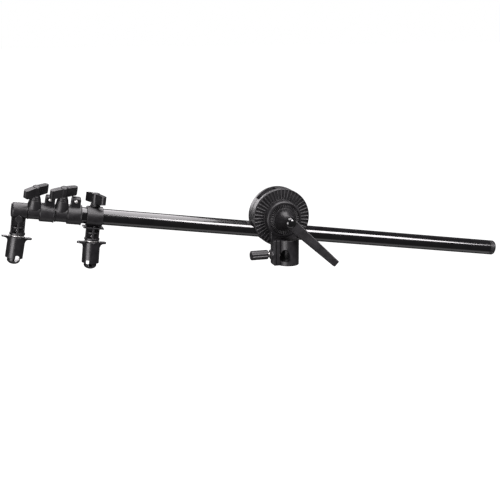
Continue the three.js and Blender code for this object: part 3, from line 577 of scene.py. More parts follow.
# Lock collars, with their ears, screws and nuts
collars = {
    2: {"from": -315.9, "neckRadius": 11.4, "neckLength": 16.1, "neckBore": 9.8, "bodyRadius": 13.4,
        "bodyBore": 11.3, "bossTop": 21.4, "earHole": 20.9, "earShift": 0.2, "body": "outer_boom"},
    1: {"from": -351.5, "neckRadius": 10.5, "neckLength": 15.4, "neckBore": 8.3, "bodyRadius": 12.7,
        "bodyBore": 9.8, "bossTop": 19.4, "earHole": 20.4, "earShift": 2.4, "body": "middle_boom"},
}
collarDetail = {
    "length": 18.9, "lip": 0.6, "lipLength": 1.1, "lipSlope": 0.3, "shoulder": 2.4, "bevel": 0.4, "edge": 0.5,
    "bossFoot": 8.8, "bossRise": 1.4, "bossTop": 7.4, "bossFlare": 1.2, "knobHole": 3.3, "stemShare": 0.6,
    "stemEase": 0.6, "earRoot": 8, "earTop": 6.3, "earBase": 6.5, "earCrown": 4.6, "earCorner": 2.4,
    "earEase": 0.7, "earThickness": 9.0, "counterbore": 3.8, "counterDepth": 1.1, "slit": 1.4,
    "screwHead": 2.5, "screwShank": 1.6, "headHeight": 1.6, "nutRadius": 3.2, "nutHeight": 2.4,
    "nutPlay": 0.2, "ease": 0.35,
}
rolledUp = axisOf("knob_2_turn")


def earPlace(size):
    # Along the collar, across it and up to the ear's hole
    d = collarDetail
    return size["neckLength"] + d["length"] / 2 + size["earShift"], 0, size["earHole"]


def collarMesh(size):
    d = collarDetail
    neck, body, lip, slope = size["neckRadius"], size["bodyRadius"], d["lip"], d["lipSlope"]
    split = size["neckLength"]
    end, step = split + d["length"], split + d["shoulder"]
    shell = turnedTo(lathe(eased([
        (size["neckBore"], 0), (neck + lip, 0), (neck + lip, d["lipLength"]), (neck, d["lipLength"] + slope),
        (neck, split - slope), (body - d["bevel"], split), (body, split + d["edge"]),
        (body, end - d["lipLength"] - slope), (body + lip, end - d["lipLength"]), (body + lip, end),
        (size["bodyBore"], end), (size["bodyBore"], step), (size["neckBore"], step),
    ], d["ease"], closed=True), 128, ring=True), "x")
    top, foot, flare = size["bossTop"], d["bossFoot"], d["bossFlare"]
    root, place = neck * d["stemShare"], earPlace(size)
    stem = lathe(eased([(0, root), (foot + flare, root), (foot + flare / 2, neck - d["bevel"]),
                        (foot, neck + d["bossRise"]), (d["bossTop"], top), (0, top)], d["stemEase"]))
    wide, narrow, crest = d["earBase"], d["earTop"], size["earHole"] + d["earCrown"]
    outline = [(-wide, d["earRoot"]), (wide, d["earRoot"]), (narrow, crest), (-narrow, crest)]
    half = d["earThickness"] / 2
    ear = upright(prism(eased(outline, d["earCorner"], closed=True, steps=8), -half, half, d["earEase"]))
    whole = fused(shell, moved(stem, split / 2), moved(ear, place[0]))
    return carved(
        whole,
        crossRod("x", size["neckBore"], -overrun, step + weld),
        crossRod("x", size["bodyBore"], step, end + overrun),
        moved(rod(d["knobHole"], 0, top + overrun, sides=48), split / 2),
        block((step, -d["slit"] / 2, 0), (end + overrun, d["slit"] / 2, crest + overrun)),
        crossRod("y", d["screwShank"] + gap, -body, body, place, sides=32),
        crossRod("y", d["screwHead"] + gap, -body, d["headHeight"] + gap - half, place, sides=48),
        crossRod("y", d["counterbore"], -body, d["counterDepth"] - half, place, sides=48),
    )


def earScrewMeshes(size):
    # A button-headed screw across the ear and its hexagon nut
    d = collarDetail
    seat = -d["earThickness"] / 2 + d["headHeight"]
    nutFrom = d["earThickness"] / 2 + gap
    end = nutFrom + d["nutHeight"]
    rim, depth = d["screwHead"], d["headHeight"]
    dome = [(rim * x, seat - depth * y) for y, x in arcPoints((0, 0), 1, 0, quarter, 12)]
    screw = turnedTo(lathe([*dome, (d["screwShank"], seat), (d["screwShank"], end), (0, end)], 64), "y")
    nutBore = rod(d["screwShank"] + d["nutPlay"], nutFrom - overrun / 2, end + overrun / 2, sides=48)
    nut = turnedTo(carved(rod(d["nutRadius"], nutFrom, end, sides=6), nutBore), "y")
    return [moved(part, *earPlace(size)) for part in (screw, nut)]


for number, size in collars.items():
    place = frameAt(boomFrame @ Vector((size["from"], 0, 0)), boomAcross, rolledUp)
    body = size["body"]
    finished(collarMesh(size), f"lockCollar{number}", [f"lock_collar_{number}"], body, "moulding", place)
    screw, nut = earScrewMeshes(size)
    finished(screw, f"collarScrew{number}", [f"collar_{number}_screw"], body, "nickel", place)
    finished(nut, f"collarNut{number}", [f"collar_{number}_nut"], body, "nickel", place)
print("lock collars ready")


# T-shaped locking knobs and their studs
knob = {
    "barLength": 42.0, "barWidth": 7.2, "barHeight": 13.0, "hubHeight": 4.2, "foot": 7.2, "footEase": 0.2,
    "footHeight": 1.4, "waist": 6.2, "neck": 1.5, "bump": 5.4, "bumpHeight": 1.0, "bumpCrown": (0.9, 0.3),
    "bumpTop": 2.4, "corner": 4.0, "hole": 3.3, "stud": 3.0, "hold": 11.0, "ease": 1.0, "hubEase": 0.6,
    "crownDrop": 1.2, "crownSteps": 24, "pitch": 1.0,
}
knobs = {
    1: {"foot": 19.7, "tip": 8.3, "angle": 41},
    2: {"foot": 21.7, "tip": 9.8, "angle": 28.7},
    3: {"foot": 13.8, "tip": 12.4, "angle": -62.5},
}


def knobMesh():
    k = knob
    low, high = k["hubHeight"], k["hubHeight"] + k["barHeight"]
    half, drop, corner, steps = k["barLength"] / 2, k["crownDrop"], k["corner"], k["crownSteps"]
    left = arcPoints((-half + corner, low + corner), corner, math.pi, 3 * quarter, 8)
    right = arcPoints((half - corner, low + corner), corner, -quarter, 0, 8)
    crown = [(half * s, high - drop * s ** 2) for s in [1 - 2 * i / steps for i in range(1, steps)]]
    side = [(-half, high - drop), *left, *right, (half, high - drop), *crown]
    tall = upright(prism(side, -k["barWidth"], k["barWidth"]))
    plan = prism(stadium(k["barLength"], k["barWidth"]), 0, high + overrun)
    bar = softened(combined(tall, [plan], "INTERSECT"), k["ease"], 50, 4)
    bump, top = k["bump"], high + k["bumpHeight"]
    crownIn, crownLow = k["bumpCrown"]
    hub = lathe(eased([
        (0, 0), (k["foot"], 0), (k["foot"] - k["footEase"], k["footHeight"]), (k["waist"], low - k["neck"]),
        (k["waist"], low), (bump, low + 2 * k["footEase"]), (bump, high - k["footEase"]),
        (bump - crownIn, top - crownLow), (bump - k["bumpTop"], top), (0, top),
    ], k["hubEase"]), 96)
    return carved(fused(hub, bar), rod(k["hole"], -overrun, k["hold"] + gap, sides=48))


thread = {"depth": 0.32, "wire": 0.33, "rootGap": 0.34, "margin": 0.6, "ease": 0.3}


def threaded(radius, low, high, pitch, slot="steel"):
    # A stud with its thread's ridge inside the stud's own radius
    t = thread
    core = rod(radius - t["depth"], low, high, t["ease"], 48)
    height = high - low - 2 * t["margin"] * pitch
    return grown(core, "helix", slot, Radius=radius - t["rootGap"], Height=height, Turns=height / pitch,
                 Wire=t["wire"], Sides=4, Steps=28, Base=low + t["margin"] * pitch)


for number, use in knobs.items():
    body = f"knob_{number}"
    axis = axisOf(body + "_turn")
    place = frameAt(pointOf(body + "_turn") + axis * use["foot"] * mm, boomAcross, axis)
    turned = Matrix.Rotation(math.radians(use["angle"]), 4, "Z")
    finished(knobMesh(), f"knobGrip{number}", [body + "_grip"], body, "grip", place @ turned)
    stud = threaded(knob["stud"], use["tip"] - use["foot"], knob["hold"], knob["pitch"])
    finished(stud, f"knobStud{number}", [body + "_stud"], body, "steel", place)
print("knobs ready")


# Elbow and slider, each with a ribbed leg below it
leg = {
    "halfWidth": 9.3, "wing": 4.4, "wingIn": 0.4, "web": 1.3, "webEase": 0.3, "post": 2.2, "postEase": 0.6,
    "ribReach": 9.6, "rib": 2.6, "platePlace": 22.4, "plate": 1.8, "plateRadius": 9.0, "footFrom": 29.8,
    "footTo": 33.0, "footRadius": 10.4, "footEase": 0.7, "lap": 0.5, "gusset": 4.8, "ease": 0.5, "pin": 2.8,
    "pinTop": -25.8,
}


def legMeshes(top):
    v = leg
    half, wing, web, ease = v["halfWidth"], v["wing"] / 2, v["web"], v["ease"]
    low = v["lap"] - v["footTo"]
    wings = block((v["wingIn"] - half, -web, low), (half - v["wingIn"], web, -top), v["webEase"])
    posts = [block((x, -wing, low), (x + v["post"], wing, -top), v["postEase"])
             for x in (-half, half - v["post"])]
    ribs = block((-v["rib"] / 2, -v["ribReach"], low), (v["rib"] / 2, v["ribReach"], -top), ease)
    plate = rod(v["plateRadius"], -v["platePlace"] - v["plate"] / 2, -v["platePlace"] + v["plate"] / 2, ease)
    return [wings, *posts, ribs, plate, rod(v["footRadius"], -v["footTo"], -v["footFrom"], v["footEase"])]


def pinHole():
    return rod(leg["pin"], -leg["footTo"] - overrun, leg["pinTop"], sides=48)


elbow = {"radius": 10.6, "length": 21.2, "endWall": 3.0, "bore": 8.3, "centre": -362.6, "endRound": 2.0,
         "ease": 1.0, "lapShare": 0.5, "gussetEase": 0.6}


def elbowMesh():
    e, half, radius = elbow, elbow["length"] / 2, elbow["radius"]
    profile = [(0, -half), (radius - e["endRound"], -half), (radius, e["endRound"] - half), (radius, half),
               (0, half)]
    shell = turnedTo(lathe(eased(profile, e["ease"]), 128), "x")
    reach = leg["ribReach"]
    gusset = crossRod("y", leg["gusset"], -reach, reach, (0, 0, -radius), e["gussetEase"])
    whole = fused(shell, gusset, *legMeshes(radius * e["lapShare"]))
    return carved(whole, crossRod("x", e["bore"], -half + e["endWall"], half + overrun), pinHole())


slider = {
    "radius": 13.5, "length": 21.5, "bore": 12.4, "linerIn": 11.3, "linerOut": 12.1, "linerEase": 0.15,
    "centre": -263.15, "plateReach": 14.0, "plateWidth": 20.0, "plateDrop": 14.6, "plateThickness": 1.5,
    "lap": 0.8, "ease": 0.4,
}


def sliderMesh():
    s, half = slider, slider["length"] / 2
    shell = turnedTo(tube(s["bore"], s["radius"], -half, half, s["ease"], 128), "x")
    reach, side, drop = s["plateReach"], s["plateWidth"] / 2, s["plateDrop"]
    plate = block((-reach, -side, -drop - s["plateThickness"]), (reach, side, -drop), s["ease"])
    whole = fused(shell, plate, *legMeshes(s["radius"] - s["lap"]))
    bore = crossRod("x", s["bore"], -half - overrun, half + overrun)
    return carved(whole, bore, rod(knob["hole"], 0, s["radius"] + overrun, sides=48), pinHole())


def boomPlace(centre):
    return boomFrame @ Matrix.Translation((centre, 0, 0))


finished(elbowMesh(), "elbowBody", ["elbow"], "inner_boom", "moulding", boomPlace(elbow["centre"]))
finished(sliderMesh(), "sliderBody", ["slider_collar"], "slider", "moulding", boomPlace(slider["centre"]))
half = slider["length"] / 2
liner = turnedTo(tube(slider["linerIn"], slider["linerOut"], -half, half, slider["linerEase"]), "x")
finished(liner, "sliderLiner", ["slider_liner"], "slider_carrier", "liner", boomPlace(slider["centre"]))
print("elbow and slider ready")


# Clips, in their own leaning frames: z up the clip's axis, heights given as distances below the boom's axis
clip = {
    "foot": 33.0, "washer": 9.4, "washerThickness": 1.1, "washerBore": 2.8, "cap": 10.1, "capTo": 37.5,
    "top": 35.1, "rod": 4.5, "headFrom": 58.2, "neck": 7.7, "stop": 64.6, "headStraight": 67.6,
    "headTo": 73.2, "head": 8.7, "sleeveFrom": 35.4, "sleeveTo": 64.3, "sleeve": 11.7, "sleeveBore": 10.8,
    "guide": 8.0, "guideFrom": 57.8, "tabSpan": 40.0, "tabWidth": 8.6, "tabThickness": 2.4,
    "tabRoot": 4.4, "tabLap": 0.3, "tabEase": 0.7, "notchFrom": 1.2, "notchTo": 6.8, "notchHeight": 4.5,
    "notchEase": 0.8, "pinBore": 3.4, "pinEnd": 43.4, "ease": 0.4, "sleeveEase": 0.45, "washerEase": 0.35,
}
hook = {"back": -1.6, "floorEnd": 3.4, "floor": 69.0, "lip": 64.2, "entryTop": 58.6, "ceiling": 62.2,
        "ease": 0.8, "web": 1.6, "webFrom": -2.6, "webTo": 1.5, "webLap": 0.8}
coil = {"wire": 0.65, "turns": 6.0, "top": 37.8, "bottom": 57.5, "radius": 9.15}


def down(height):
    return clip["foot"] - height


def lowered(points):
    return [(x, down(height)) for x, height in points]


def mirrored(points, side):
    return points if side > 0 else [(-x, y) for x, y in reversed(points)]


def domed(radius, base, height, steps):
    # Half of a flattened dome's outline, from its foot to just short of its crown
    return [(radius * x, base + height * y) for x, y in arcPoints((0, 0), 1, 0, quarter, steps)[:-1]]


def coreMesh(side):
    c, h = clip, hook
    dome = domed(c["head"], c["headStraight"], c["headTo"] - c["headStraight"], 14)
    body = lathe(eased(lowered([
        (0, c["top"]), (c["cap"], c["top"]), (c["cap"], c["capTo"]), (c["rod"], c["capTo"]),
        (c["rod"], c["headFrom"]), (c["neck"], c["headFrom"]), (c["neck"], c["stop"]), (c["head"], c["stop"]),
        *dome, (0, c["headTo"]),
    ]), c["ease"]), 96)
    edge = c["head"] + overrun
    floor, ceiling, lip, entry, lap = (h[key] for key in ("floor", "ceiling", "lip", "entryTop", "webLap"))
    outline = lowered([(h["back"], ceiling), (h["back"], floor), (h["floorEnd"], floor), (c["head"], lip),
                       (edge, lip), (edge, entry), (c["head"], entry)])
    slot = upright(prism(eased(mirrored(outline, side), h["ease"], closed=True), -edge, edge))
    bore = rod(c["pinBore"], down(c["pinEnd"]), down(c["top"]) + overrun, sides=48)
    # A thin web stays in the slot's closed side, so that light comes through its mouth only
    low, high = sorted((side * h["webFrom"], side * h["webTo"]))
    web = block((low, -h["web"] / 2, down(floor) - lap), (high, h["web"] / 2, down(ceiling) + lap))
    return fused(carved(body, slot, bore), web)


def sleeveMesh(side):
    c = clip
    top, end = down(c["sleeveFrom"]), down(c["sleeveTo"])
    shell = lathe(eased(lowered([
        (c["sleeveBore"], c["sleeveFrom"]), (c["sleeve"], c["sleeveFrom"]), (c["sleeve"], c["sleeveTo"]),
        (c["guide"], c["sleeveTo"]), (c["guide"], c["guideFrom"]), (c["sleeveBore"], c["guideFrom"]),
    ]), c["sleeveEase"], closed=True), 128, ring=True)
    half, root, width = c["tabSpan"] / 2, c["tabRoot"], c["tabWidth"] / 2
    inside, under = c["sleeveBore"] + c["tabLap"], top - c["tabThickness"]
    curve = arcPoints((c["sleeve"] + root, under - root), root, quarter, math.pi, 8)
    outline = [(inside, top), (half, top), (half, under), *curve, (inside, under - root)]
    plan = prism(stadium(c["tabSpan"], c["tabWidth"]), under - root - overrun / 2, top + overrun / 2)
    tabs = [combined(upright(prism(mirrored(outline, way), -width, width)), [plan.copy()], "INTERSECT")
            for way in (-1, 1)]
    whole = fused(shell, *[softened(tab, c["tabEase"], 50, 3) for tab in tabs])
    low, high = sorted((side * c["notchFrom"], side * c["notchTo"]))
    reach = c["sleeve"] + overrun
    notch = block((low, -reach, end - overrun), (high, reach, end + c["notchHeight"]), c["notchEase"])
    return carved(whole, notch, rod(c["sleeveBore"], down(c["guideFrom"]), top + overrun))


clips = {1: {"leg": "inner_boom", "side": 1}, 2: {"leg": "slider", "side": -1}}

for number, use in clips.items():
    body = f"clip_{number}"
    up, foot = axisOf(body + "_swivel"), pointOf(body + "_swivel")
    place = frameAt(foot, Vector((0, 1, 0)).cross(up), up)
    finished(coreMesh(use["side"]), f"clipCore{number}", [body + "_core"], body, "moulding", place)
    sleeve = sleeveMesh(use["side"])
    finished(sleeve, f"clipSleeve{number}", [body + "_sleeve"], body + "_grip", "moulding", place, "sleeve")
    height = coil["bottom"] - coil["top"] - 2 * coil["wire"]
    wire = grown(emptyMesh(), "helix", "steel", Radius=coil["radius"], Height=height, Turns=coil["turns"],
                 Wire=coil["wire"], Sides=12, Steps=32, Base=down(coil["bottom"]) + coil["wire"])
    spring = finished(wire, f"clipSpring{number}", [body + "_spring"], body, "steel", place)
    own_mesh(spring)
    ring = tube(clip["washerBore"], clip["washer"], -gap - clip["washerThickness"], -gap, clip["washerEase"])
    flat = frameAt(foot, boomAcross, boomUp)
    finished(ring, f"clipWasher{number}", [body + "_washer"], use["leg"], "nickel", flat)
print("clips ready")


# Jaws: ribbed discs that grip the tube
jaw = {
    "radius": 41.5, "half": 13.7, "rib": 1.6, "count": 44, "ribWidth": 3.5, "ribLap": 0.4, "ribSink": 0.3,
    "ribCrown": 0.92, "recess": 24.8, "ringTo": 25.8, "ribOuter": 40.3, "rim": 6.2, "rimBevel": 1.0,
    "parting": 0.6, "slotInner": 24.0, "slotFrom": 15, "slotTo": 58, "slotEase": 1.5, "boltHole": 4.3,
    "groove": 11.3, "tubeDrop": 21.5, "draft": 0.2, "ease": 0.25,
}


def sectorOutline(inner, outer, start, end, steps=24):
    return arcPoints((0, 0), inner, start, end, steps) + arcPoints((0, 0), outer, end, start, steps)


def jawMesh():
    j = jaw
    top, web, back, radius = j["half"], j["half"] - j["rib"], j["parting"], j["radius"]
    edge = radius + overrun
    disc = lathe(eased([
        (j["boltHole"], back), (radius, back), (radius, top - j["rimBevel"]), (radius - j["rimBevel"], top),
        (j["ribOuter"], top), (j["ribOuter"] - j["draft"], web), (j["ringTo"] + j["draft"], web),
        (j["ringTo"], top), (j["recess"], top), (j["recess"], web), (j["boltHole"], web),
    ], j["ease"], closed=True, steps=3), 176, ring=True)
    cutters = [crossRod("x", j["groove"], -edge, edge, (0, -j["tubeDrop"], 0))]
    for side in (-1, 1):
        start, end = (quarter + side * math.radians(j[key]) for key in ("slotFrom", "slotTo"))
        outline = eased(sectorOutline(j["slotInner"], edge, start, end), j["slotEase"], closed=True)
        cutters.append(prism(outline, back - overrun, top - j["rim"]))
    return grown(carved(disc, *cutters), "ribs", "head", Count=j["count"], Inner=j["ringTo"] - j["ribLap"],
                 Outer=j["ribOuter"] + j["ribLap"], Width=j["ribWidth"], Height=j["rib"], Floor=web,
                 Sink=j["ribSink"], Crown=j["ribCrown"])


finished(jawMesh(), "frontJaw", ["front_jaw"], "head", "head", tiltedFace)
finished(jawMesh(), "rearJaw", ["rear_jaw"], "rear_clamp", "head", rearFace)
print("jaws ready")


# Stack on the bolt: rings, bolt, lever and cap
stack = {
    "seat": 12.1, "frictionIn": 10.0, "frictionOut": 22.5, "friction": 1.2, "thrust": 12.6,
    "thrustThickness": 1.2, "ease": 0.2, "rearWasher": 12.5, "rearThickness": 1.5, "rearEase": 0.25,
    "bolt": 4.0, "boltPastNut": 7, "head": 8.5, "headHeight": 4.6, "headRim": 1.2, "boltEase": 0.3,
}
boss = {
    "radius": 25.6, "thickness": 13.1, "bevel": 1.4, "ticks": 46, "tickIn": 16.6, "tickOut": 20.8,
    "tickWidth": 1.3, "tickShare": 0.96, "tickSink": 0.2, "tickCrown": 0.5, "dish": 1.4,
    "dishMargin": 0.6, "ease": 0.4,
}
lever = {
    "base": 14.0, "tip": 8.2, "length": 24.0, "waistShare": 0.55, "flareShare": 0.85, "wall": 1.2,
    "reach": 88.0, "root": 16.4, "end": 9.8, "thickness": 8.4, "lean": 15, "down": 43.5, "edge": 1.2,
    "nut": 7.8, "nutHeight": 6.5,
}
cap = {"radius": 7.5, "rim": 1.0, "dome": 4.6}
bossFrom = stack["seat"] + stack["friction"] + 2 * gap
bossTo = bossFrom + boss["thickness"]
hubFrom = bossTo + stack["thrustThickness"] + 2 * gap


def boltMesh():
    s = stack
    seat = s["seat"] + s["rearThickness"] + 2 * gap
    tip = -(hubFrom + lever["nutHeight"] + gap + s["boltPastNut"])
    dome = domed(s["head"], seat + s["headRim"], s["headHeight"] - s["headRim"], 12)
    profile = [(0, tip), (s["bolt"], tip), (s["bolt"], seat), (s["head"], seat), *dome,
               (0, seat + s["headHeight"])]
    return lathe(eased(profile, s["boltEase"]), 96)


def makeStack():
    s, bore = stack, stack["bolt"] + gap
    friction = tube(s["frictionIn"], s["frictionOut"], s["seat"] + gap, bossFrom - gap, s["ease"])
    finished(friction, "frictionRing", ["friction_ring"], "bracket", "liner", faceFrame)
    thrust = tube(bore, s["thrust"], bossTo + gap, hubFrom - gap, s["ease"])
    finished(thrust, "thrustWasher", ["thrust_washer"], "bracket", "nickel", faceFrame)
    washer = tube(bore, s["rearWasher"], s["seat"] + gap, s["seat"] + gap + s["rearThickness"], s["rearEase"])
    finished(washer, "rearWasher", ["rear_washer"], "rear_clamp", "nickel", rearFace)
    finished(boltMesh(), "clampBolt", ["clamp_bolt"], "rear_clamp", "steel", rearFace)


makeStack()

# Stand bracket: boss, neck, and socket barrel with its flange, window and screw boss
socket = {
    "bore": 8.3, "boreDepth": 33.0, "barrel": 15.6, "offset": 4.4, "height": 37.0, "chamfer": 0.8,
    "ease": 1.1, "flangeReach": 19.3, "flangeDepth": 15.6, "flangeChamfer": 1.6, "flangeInset": 0.4,
    "flangeEase": 0.9, "groove": 1.5, "grooveDepth": 1.2, "grooves": (4.1, 9.9), "neckHalf": 19.3,
    "neckThickness": 9.6, "neckLap": 3.0, "neckEase": 1.0, "back": 14.6, "screwHeight": 16.0,
    "screwBoss": 7.8, "bossHeight": 3.5, "bossChamfer": 1.6, "bossEase": 0.5, "stud": 3.0, "shoe": 5.0,
    "shoeThickness": 1.8, "travel": 2.2, "trim": 29.0,
}
window = {"left": -10.3, "right": 2.9, "bottom": 6.4, "top": 24.0, "crownShare": 0.3, "ease": 2.4}


def bossMesh():
    b = boss
    radius, bevel, margin, floor = b["radius"], b["bevel"], b["dishMargin"], bossTo - b["dish"]
    inner, outer = b["tickIn"] - margin, b["tickOut"] + margin
    disc = lathe(eased([
        (0, bossFrom), (radius, bossFrom), (radius, bossTo - bevel), (radius - bevel, bossTo),
        (outer + margin, bossTo), (outer, floor), (inner, floor), (inner - margin, bossTo), (0, bossTo),
    ], b["ease"], steps=3), 144)
    disc = grown(disc, "ribs", "head", Count=b["ticks"], Inner=b["tickIn"], Outer=b["tickOut"],
                 Width=b["tickWidth"], Height=b["dish"] * b["tickShare"], Floor=floor,
                 Sink=b["tickSink"], Crown=b["tickCrown"])
    disc.transform(socketFrame.inverted() @ faceFrame)
    return disc


def windowMesh():
    w = window
    left, right, bottom, top = w["left"], w["right"], w["bottom"], w["top"]
    crown = (right - left) * w["crownShare"]
    foot, shoulder = crown / 2, (bottom + top) / 2
    outline = [(left + foot, bottom), (right - foot, bottom), (right, bottom + foot), (right, shoulder),
               (right - crown, top), (left + crown, top), (left, shoulder), (left, bottom + foot)]
    outline = eased(outline, w["ease"], closed=True, steps=6, corner=5)
    return upright(prism(outline, 0, socket["barrel"] + overrun))


def bracketMesh():
    s = socket
    back, height, reach, inset, trim = s["back"], s["height"], s["flangeReach"], s["flangeInset"], s["trim"]
    neck = block((-s["neckHalf"], back - s["neckThickness"], height - s["neckLap"]),
                 (s["neckHalf"], back, pivot.z / mm - boss["radius"] / 2), s["neckEase"])
    shell = moved(rod(s["barrel"], 0, height, s["ease"], 144), s["offset"])
    cut, deep = s["flangeChamfer"], s["flangeDepth"] / 2
    top = height - inset
    outline = [(0, inset), (cut - reach, inset), (-reach, cut + inset), (-reach, top), (0, top)]
    flange = upright(prism(outline, -deep, deep, s["flangeEase"]))
    end, wide, bevel = -reach - s["bossHeight"], s["screwBoss"], s["bossChamfer"]
    profile = [(0, end), (wide - bevel, end), (wide, end + bevel), (wide, 0), (0, 0)]
    screwPlace = (0, 0, s["screwHeight"])
    screwBoss = moved(turnedTo(lathe(eased(profile, s["bossEase"]), 8), "x"), *screwPlace)
    behind = block((-trim, back, -overrun), (trim, trim, height + overrun))
    whole = fused(carved(fused(shell, flange, screwBoss), behind), neck)
    mouth, bore = s["bore"] + s["chamfer"], s["bore"]
    pocket = -bore - s["shoeThickness"] - s["travel"] - 2 * gap
    cutters = [
        lathe([(0, -overrun), (mouth, -overrun), (mouth, 0), (bore, s["chamfer"]), (bore, s["boreDepth"]),
               (0, s["boreDepth"])], 96),
        crossRod("x", s["stud"] + gap, -trim - overrun, 0, screwPlace, sides=48),
        crossRod("x", s["shoe"] + gap, pocket, 0, screwPlace, sides=64),
        windowMesh(),
    ]
    for middle in s["grooves"]:
        low = middle - reach - s["groove"] / 2
        cutters.append(block((low, -deep - overrun, -overrun),
                             (low + s["groove"], s["grooveDepth"] - deep, height + overrun)))
    return joined(carved(whole, *cutters), bossMesh())


finished(bracketMesh(), "standBracket", ["stand_bracket"], "bracket", "head", socketFrame)
print("bracket ready")

# Socket screw
screwGrip = {"radius": 6.8, "length": 25.6, "flutes": 8, "depth": 1.0, "fade": 2.4, "ease": 1.6, "hold": 14.0,
             "face": -25.4, "pitch": 1.25, "shoeIn": 0.3, "shoeEase": 0.4}


def makeSocketScrew():
    g, s = screwGrip, socket
    lift = Matrix.Translation((0, 0, s["screwHeight"]))
    half, shoeFace = g["length"] / 2, -s["bore"] - gap
    shoeBack = shoeFace - s["shoeThickness"]
    grip = grown(emptyMesh(), "fluted", "grip", Radius=g["radius"], Length=g["length"], Flutes=g["flutes"],
                 Depth=g["depth"], Fade=g["fade"], Ease=g["ease"])
    bm = bmesh.new()
    bm.from_mesh(grip)
    bmesh.ops.remove_doubles(bm, verts=bm.verts, dist=seam)
    grip = carved(meshOf(bm), rod(s["stud"] + gap, half - g["hold"] - gap, half + overrun, sides=48))
    stud = threaded(s["stud"], g["face"] - g["hold"], shoeBack - gap, g["pitch"], "nickel")
    shoe = rod(s["shoe"] - g["shoeIn"], shoeBack, shoeFace, g["shoeEase"], 64)
    pieces = {
        "Grip": (grip, "grip", Matrix.Translation((g["face"] - half, 0, 0))),
        "Stud": (stud, "nickel", Matrix()),
        "Shoe": (shoe, "nickel", Matrix()),
    }
    for name, (mesh, slot, along) in pieces.items():
        node = f"socket_screw_{name.lower()}"
        place = socketFrame @ lift @ along
        finished(turnedTo(mesh, "x"), "socketScrew" + name, [node], "socket_screw", slot, place)


makeSocketScrew()
print("socket screw ready")


# Clamp lever: bell hub and angled arm, with a domed cap
def bezier(points, steps):
    made = []
    for k in range(steps + 1):
        t = k / steps
        weights = [(1 - t) ** 3, 3 * t * (1 - t) ** 2, 3 * t * t * (1 - t), t ** 3]
        made.append(tuple(sum(w * p[i] for w, p in zip(weights, points)) for i in (0, 1)))
    return made


def leverMesh():
    v = lever
    tip, lean, nutTop = hubFrom + v["length"], math.radians(v["lean"]), hubFrom + v["nutHeight"] + 2 * gap
    bell = bezier([(v["base"], hubFrom), (v["base"] * v["flareShare"], hubFrom + v["length"] / 3),
                   (v["tip"], hubFrom + v["length"] * v["waistShare"]), (v["tip"], tip)], 24)
    hub = lathe([(0, hubFrom), *bell, (0, tip)], 144)
    length = v["reach"] / math.cos(lean)
    outline = [(0, -v["root"] / 2), (length, -v["end"] / 2), (length, v["end"] / 2), (0, v["root"] / 2)]
    arm = prism(outline, 0, v["thickness"], v["edge"])
    behindCap = v["wall"] + v["tip"] * math.tan(lean)
    seat = Matrix.Translation((0, 0, tip - v["thickness"] - behindCap))
    arm.transform(Matrix.Rotation(-math.radians(v["down"]), 4, "Z") @ seat @ Matrix.Rotation(-lean, 4, "Y"))
    nut = rod(v["nut"], hubFrom - overrun, nutTop, sides=6)
    bolt = rod(stack["bolt"] + gap, hubFrom - overrun, nutTop + stack["boltPastNut"], sides=48)
    return carved(fused(hub, arm), nut, bolt)


def capMesh():
    start, radius, rim = hubFrom + lever["length"] + gap, cap["radius"], cap["rim"]
    dome = domed(radius, start + rim, cap["dome"], 20)
    return lathe([(0, start), (radius, start), *dome, (0, start + rim + cap["dome"])], 96)


finished(leverMesh(), "clampLever", ["clamp_lever"], "lever", "lever", faceFrame)
finished(capMesh(), "leverCap", ["lever_cap"], "lever", "gloss", faceFrame)
print("lever ready")

# Construction nodes that stay as they are take the finish of their slot
slotOf = {part["node"]: part["material_slot"] for part in frame["record"]["subparts"]}
hidden = ("pivot_bush", "lever_nut", "middle_guide", "inner_guide", "clip_1_swivel_pin", "clip_2_swivel_pin")
for node in hidden:
    kept = frame["nodes"][node]
    kept.data.materials.clear()
    kept.data.materials.append(finish[slotOf[node]])

# Floor, light and camera
stage = {"floorDrop": -1.25, "floorSize": 60.0, "floorColour": "#f4f4f4", "floorRough": 0.9, "room": 0.1,
         "lampColour": (1.0, 0.965, 0.99)}
lamps = {
    "frontSoftbox": {"place": (1.0, -1.5, 1.32), "aim": (0.1, 0, 0.03), "size": (1.15, 0.85), "power": 58},
    "overheadPanel": {"place": (-0.1, 0.2, 1.75), "aim": (-0.1, 0.2, 0), "size": (1.5, 3.0), "power": 84},
    "leftFill": {"place": (-1.75, -1.35, -0.1), "aim": (-0.1, 0, 0), "size": (1.3, 1.3), "power": 40},
    "backPanel": {"place": (-0.7, 2.2, 0.6), "aim": (0, 0, 0.05), "size": (1.4, 0.9), "power": 20},
    "lowCard": {"place": (0.0, -0.1, -1.0), "aim": (0, 0, 0.05), "size": (2.4, 0.6), "power": 2.5},
}
photoCamera = {
    "place": (-0.4297, -1.2835, 0.33735),
    "yaw": 0.2864, "pitch": -0.2298, "roll": -0.0047,
    "focal": 980.0 / 500,  # of the photograph's width
    "sensor": 36.0, "near": 0.05, "far": 200,
}


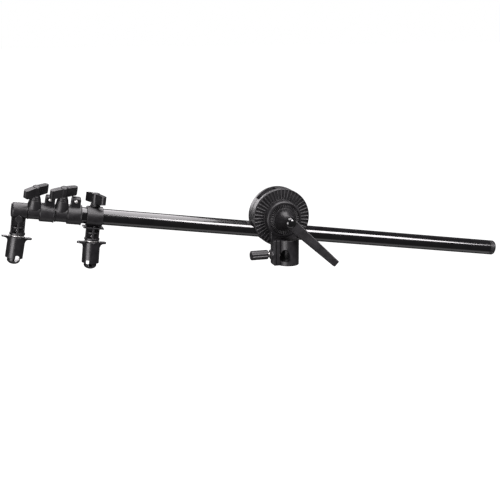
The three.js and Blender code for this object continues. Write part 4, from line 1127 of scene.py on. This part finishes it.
def makeFloor():
    bm = bmesh.new()
    bmesh.ops.create_grid(bm, x_segments=1, y_segments=1, size=stage["floorSize"])
    mesh = bpy.data.meshes.new("floor")
    bm.to_mesh(mesh)
    bm.free()
    mesh.transform(Matrix.Translation((0, 0, stage["floorDrop"])))
    floor = asObject(mesh, "floor")
    made, _, shader, _ = newMaterial("paleFloor")
    shader.inputs["Base Color"].default_value = linear(stage["floorColour"])
    shader.inputs["Roughness"].default_value = stage["floorRough"]
    shader.inputs["Emission Color"].default_value = (1, 1, 1, 1)
    shader.inputs["Emission Strength"].default_value = 1.0
    mesh.materials.append(made)
    floor.visible_diffuse = False
    floor.visible_glossy = False


def makeWorld():
    # White behind the object, and a dim grey room in its reflections
    world = bpy.data.worlds.new("studio")
    world.use_nodes = True
    tree = world.node_tree
    tree.nodes.clear()
    seen = addNode(tree, "ShaderNodeLightPath").outputs["Is Camera Ray"]
    room = addNode(tree, "ShaderNodeBackground", {"Color": (1, 1, 1, 1), "Strength": stage["room"]})
    white = addNode(tree, "ShaderNodeBackground", {"Color": (1, 1, 1, 1), "Strength": 1.0})
    mix = addNode(tree, "ShaderNodeMixShader", links={0: seen, 1: room.outputs[0], 2: white.outputs[0]})
    addNode(tree, "ShaderNodeOutputWorld", links={0: mix.outputs[0]})
    bpy.context.scene.world = world


def areaLight(name, place, aim, size, power):
    data = bpy.data.lights.new(name, "AREA")
    data.shape = "RECTANGLE"
    data.size, data.size_y = size
    data.energy = power
    data.color = stage["lampColour"]
    light = bpy.data.objects.new(name, data)
    bpy.context.scene.collection.objects.link(light)
    light.location = place
    light.rotation_euler = (Vector(aim) - Vector(place)).to_track_quat("-Z", "Y").to_euler()
    light.visible_camera = False


def makeCamera():
    c = photoCamera
    data = bpy.data.cameras.new("photoCamera")
    data.sensor_width = c["sensor"]
    data.lens = c["focal"] * data.sensor_width
    data.clip_start, data.clip_end = c["near"], c["far"]
    camera = bpy.data.objects.new("photoCamera", data)
    bpy.context.scene.collection.objects.link(camera)
    yaw, pitch = c["yaw"], c["pitch"]
    forward = Vector((math.sin(yaw) * math.cos(pitch), math.cos(yaw) * math.cos(pitch), math.sin(pitch)))
    right = Vector((math.cos(yaw), -math.sin(yaw), 0))
    up = right.cross(forward)
    turn = Matrix((right, up, -forward)).transposed().to_4x4() @ Matrix.Rotation(c["roll"], 4, "Z")
    camera.matrix_world = Matrix.Translation(c["place"]) @ turn
    bpy.context.scene.camera = camera


makeFloor()
makeWorld()
for name, use in lamps.items():
    areaLight(name, **use)
makeCamera()
bpy.context.scene.view_settings.view_transform = "Standard"
print("stage ready")
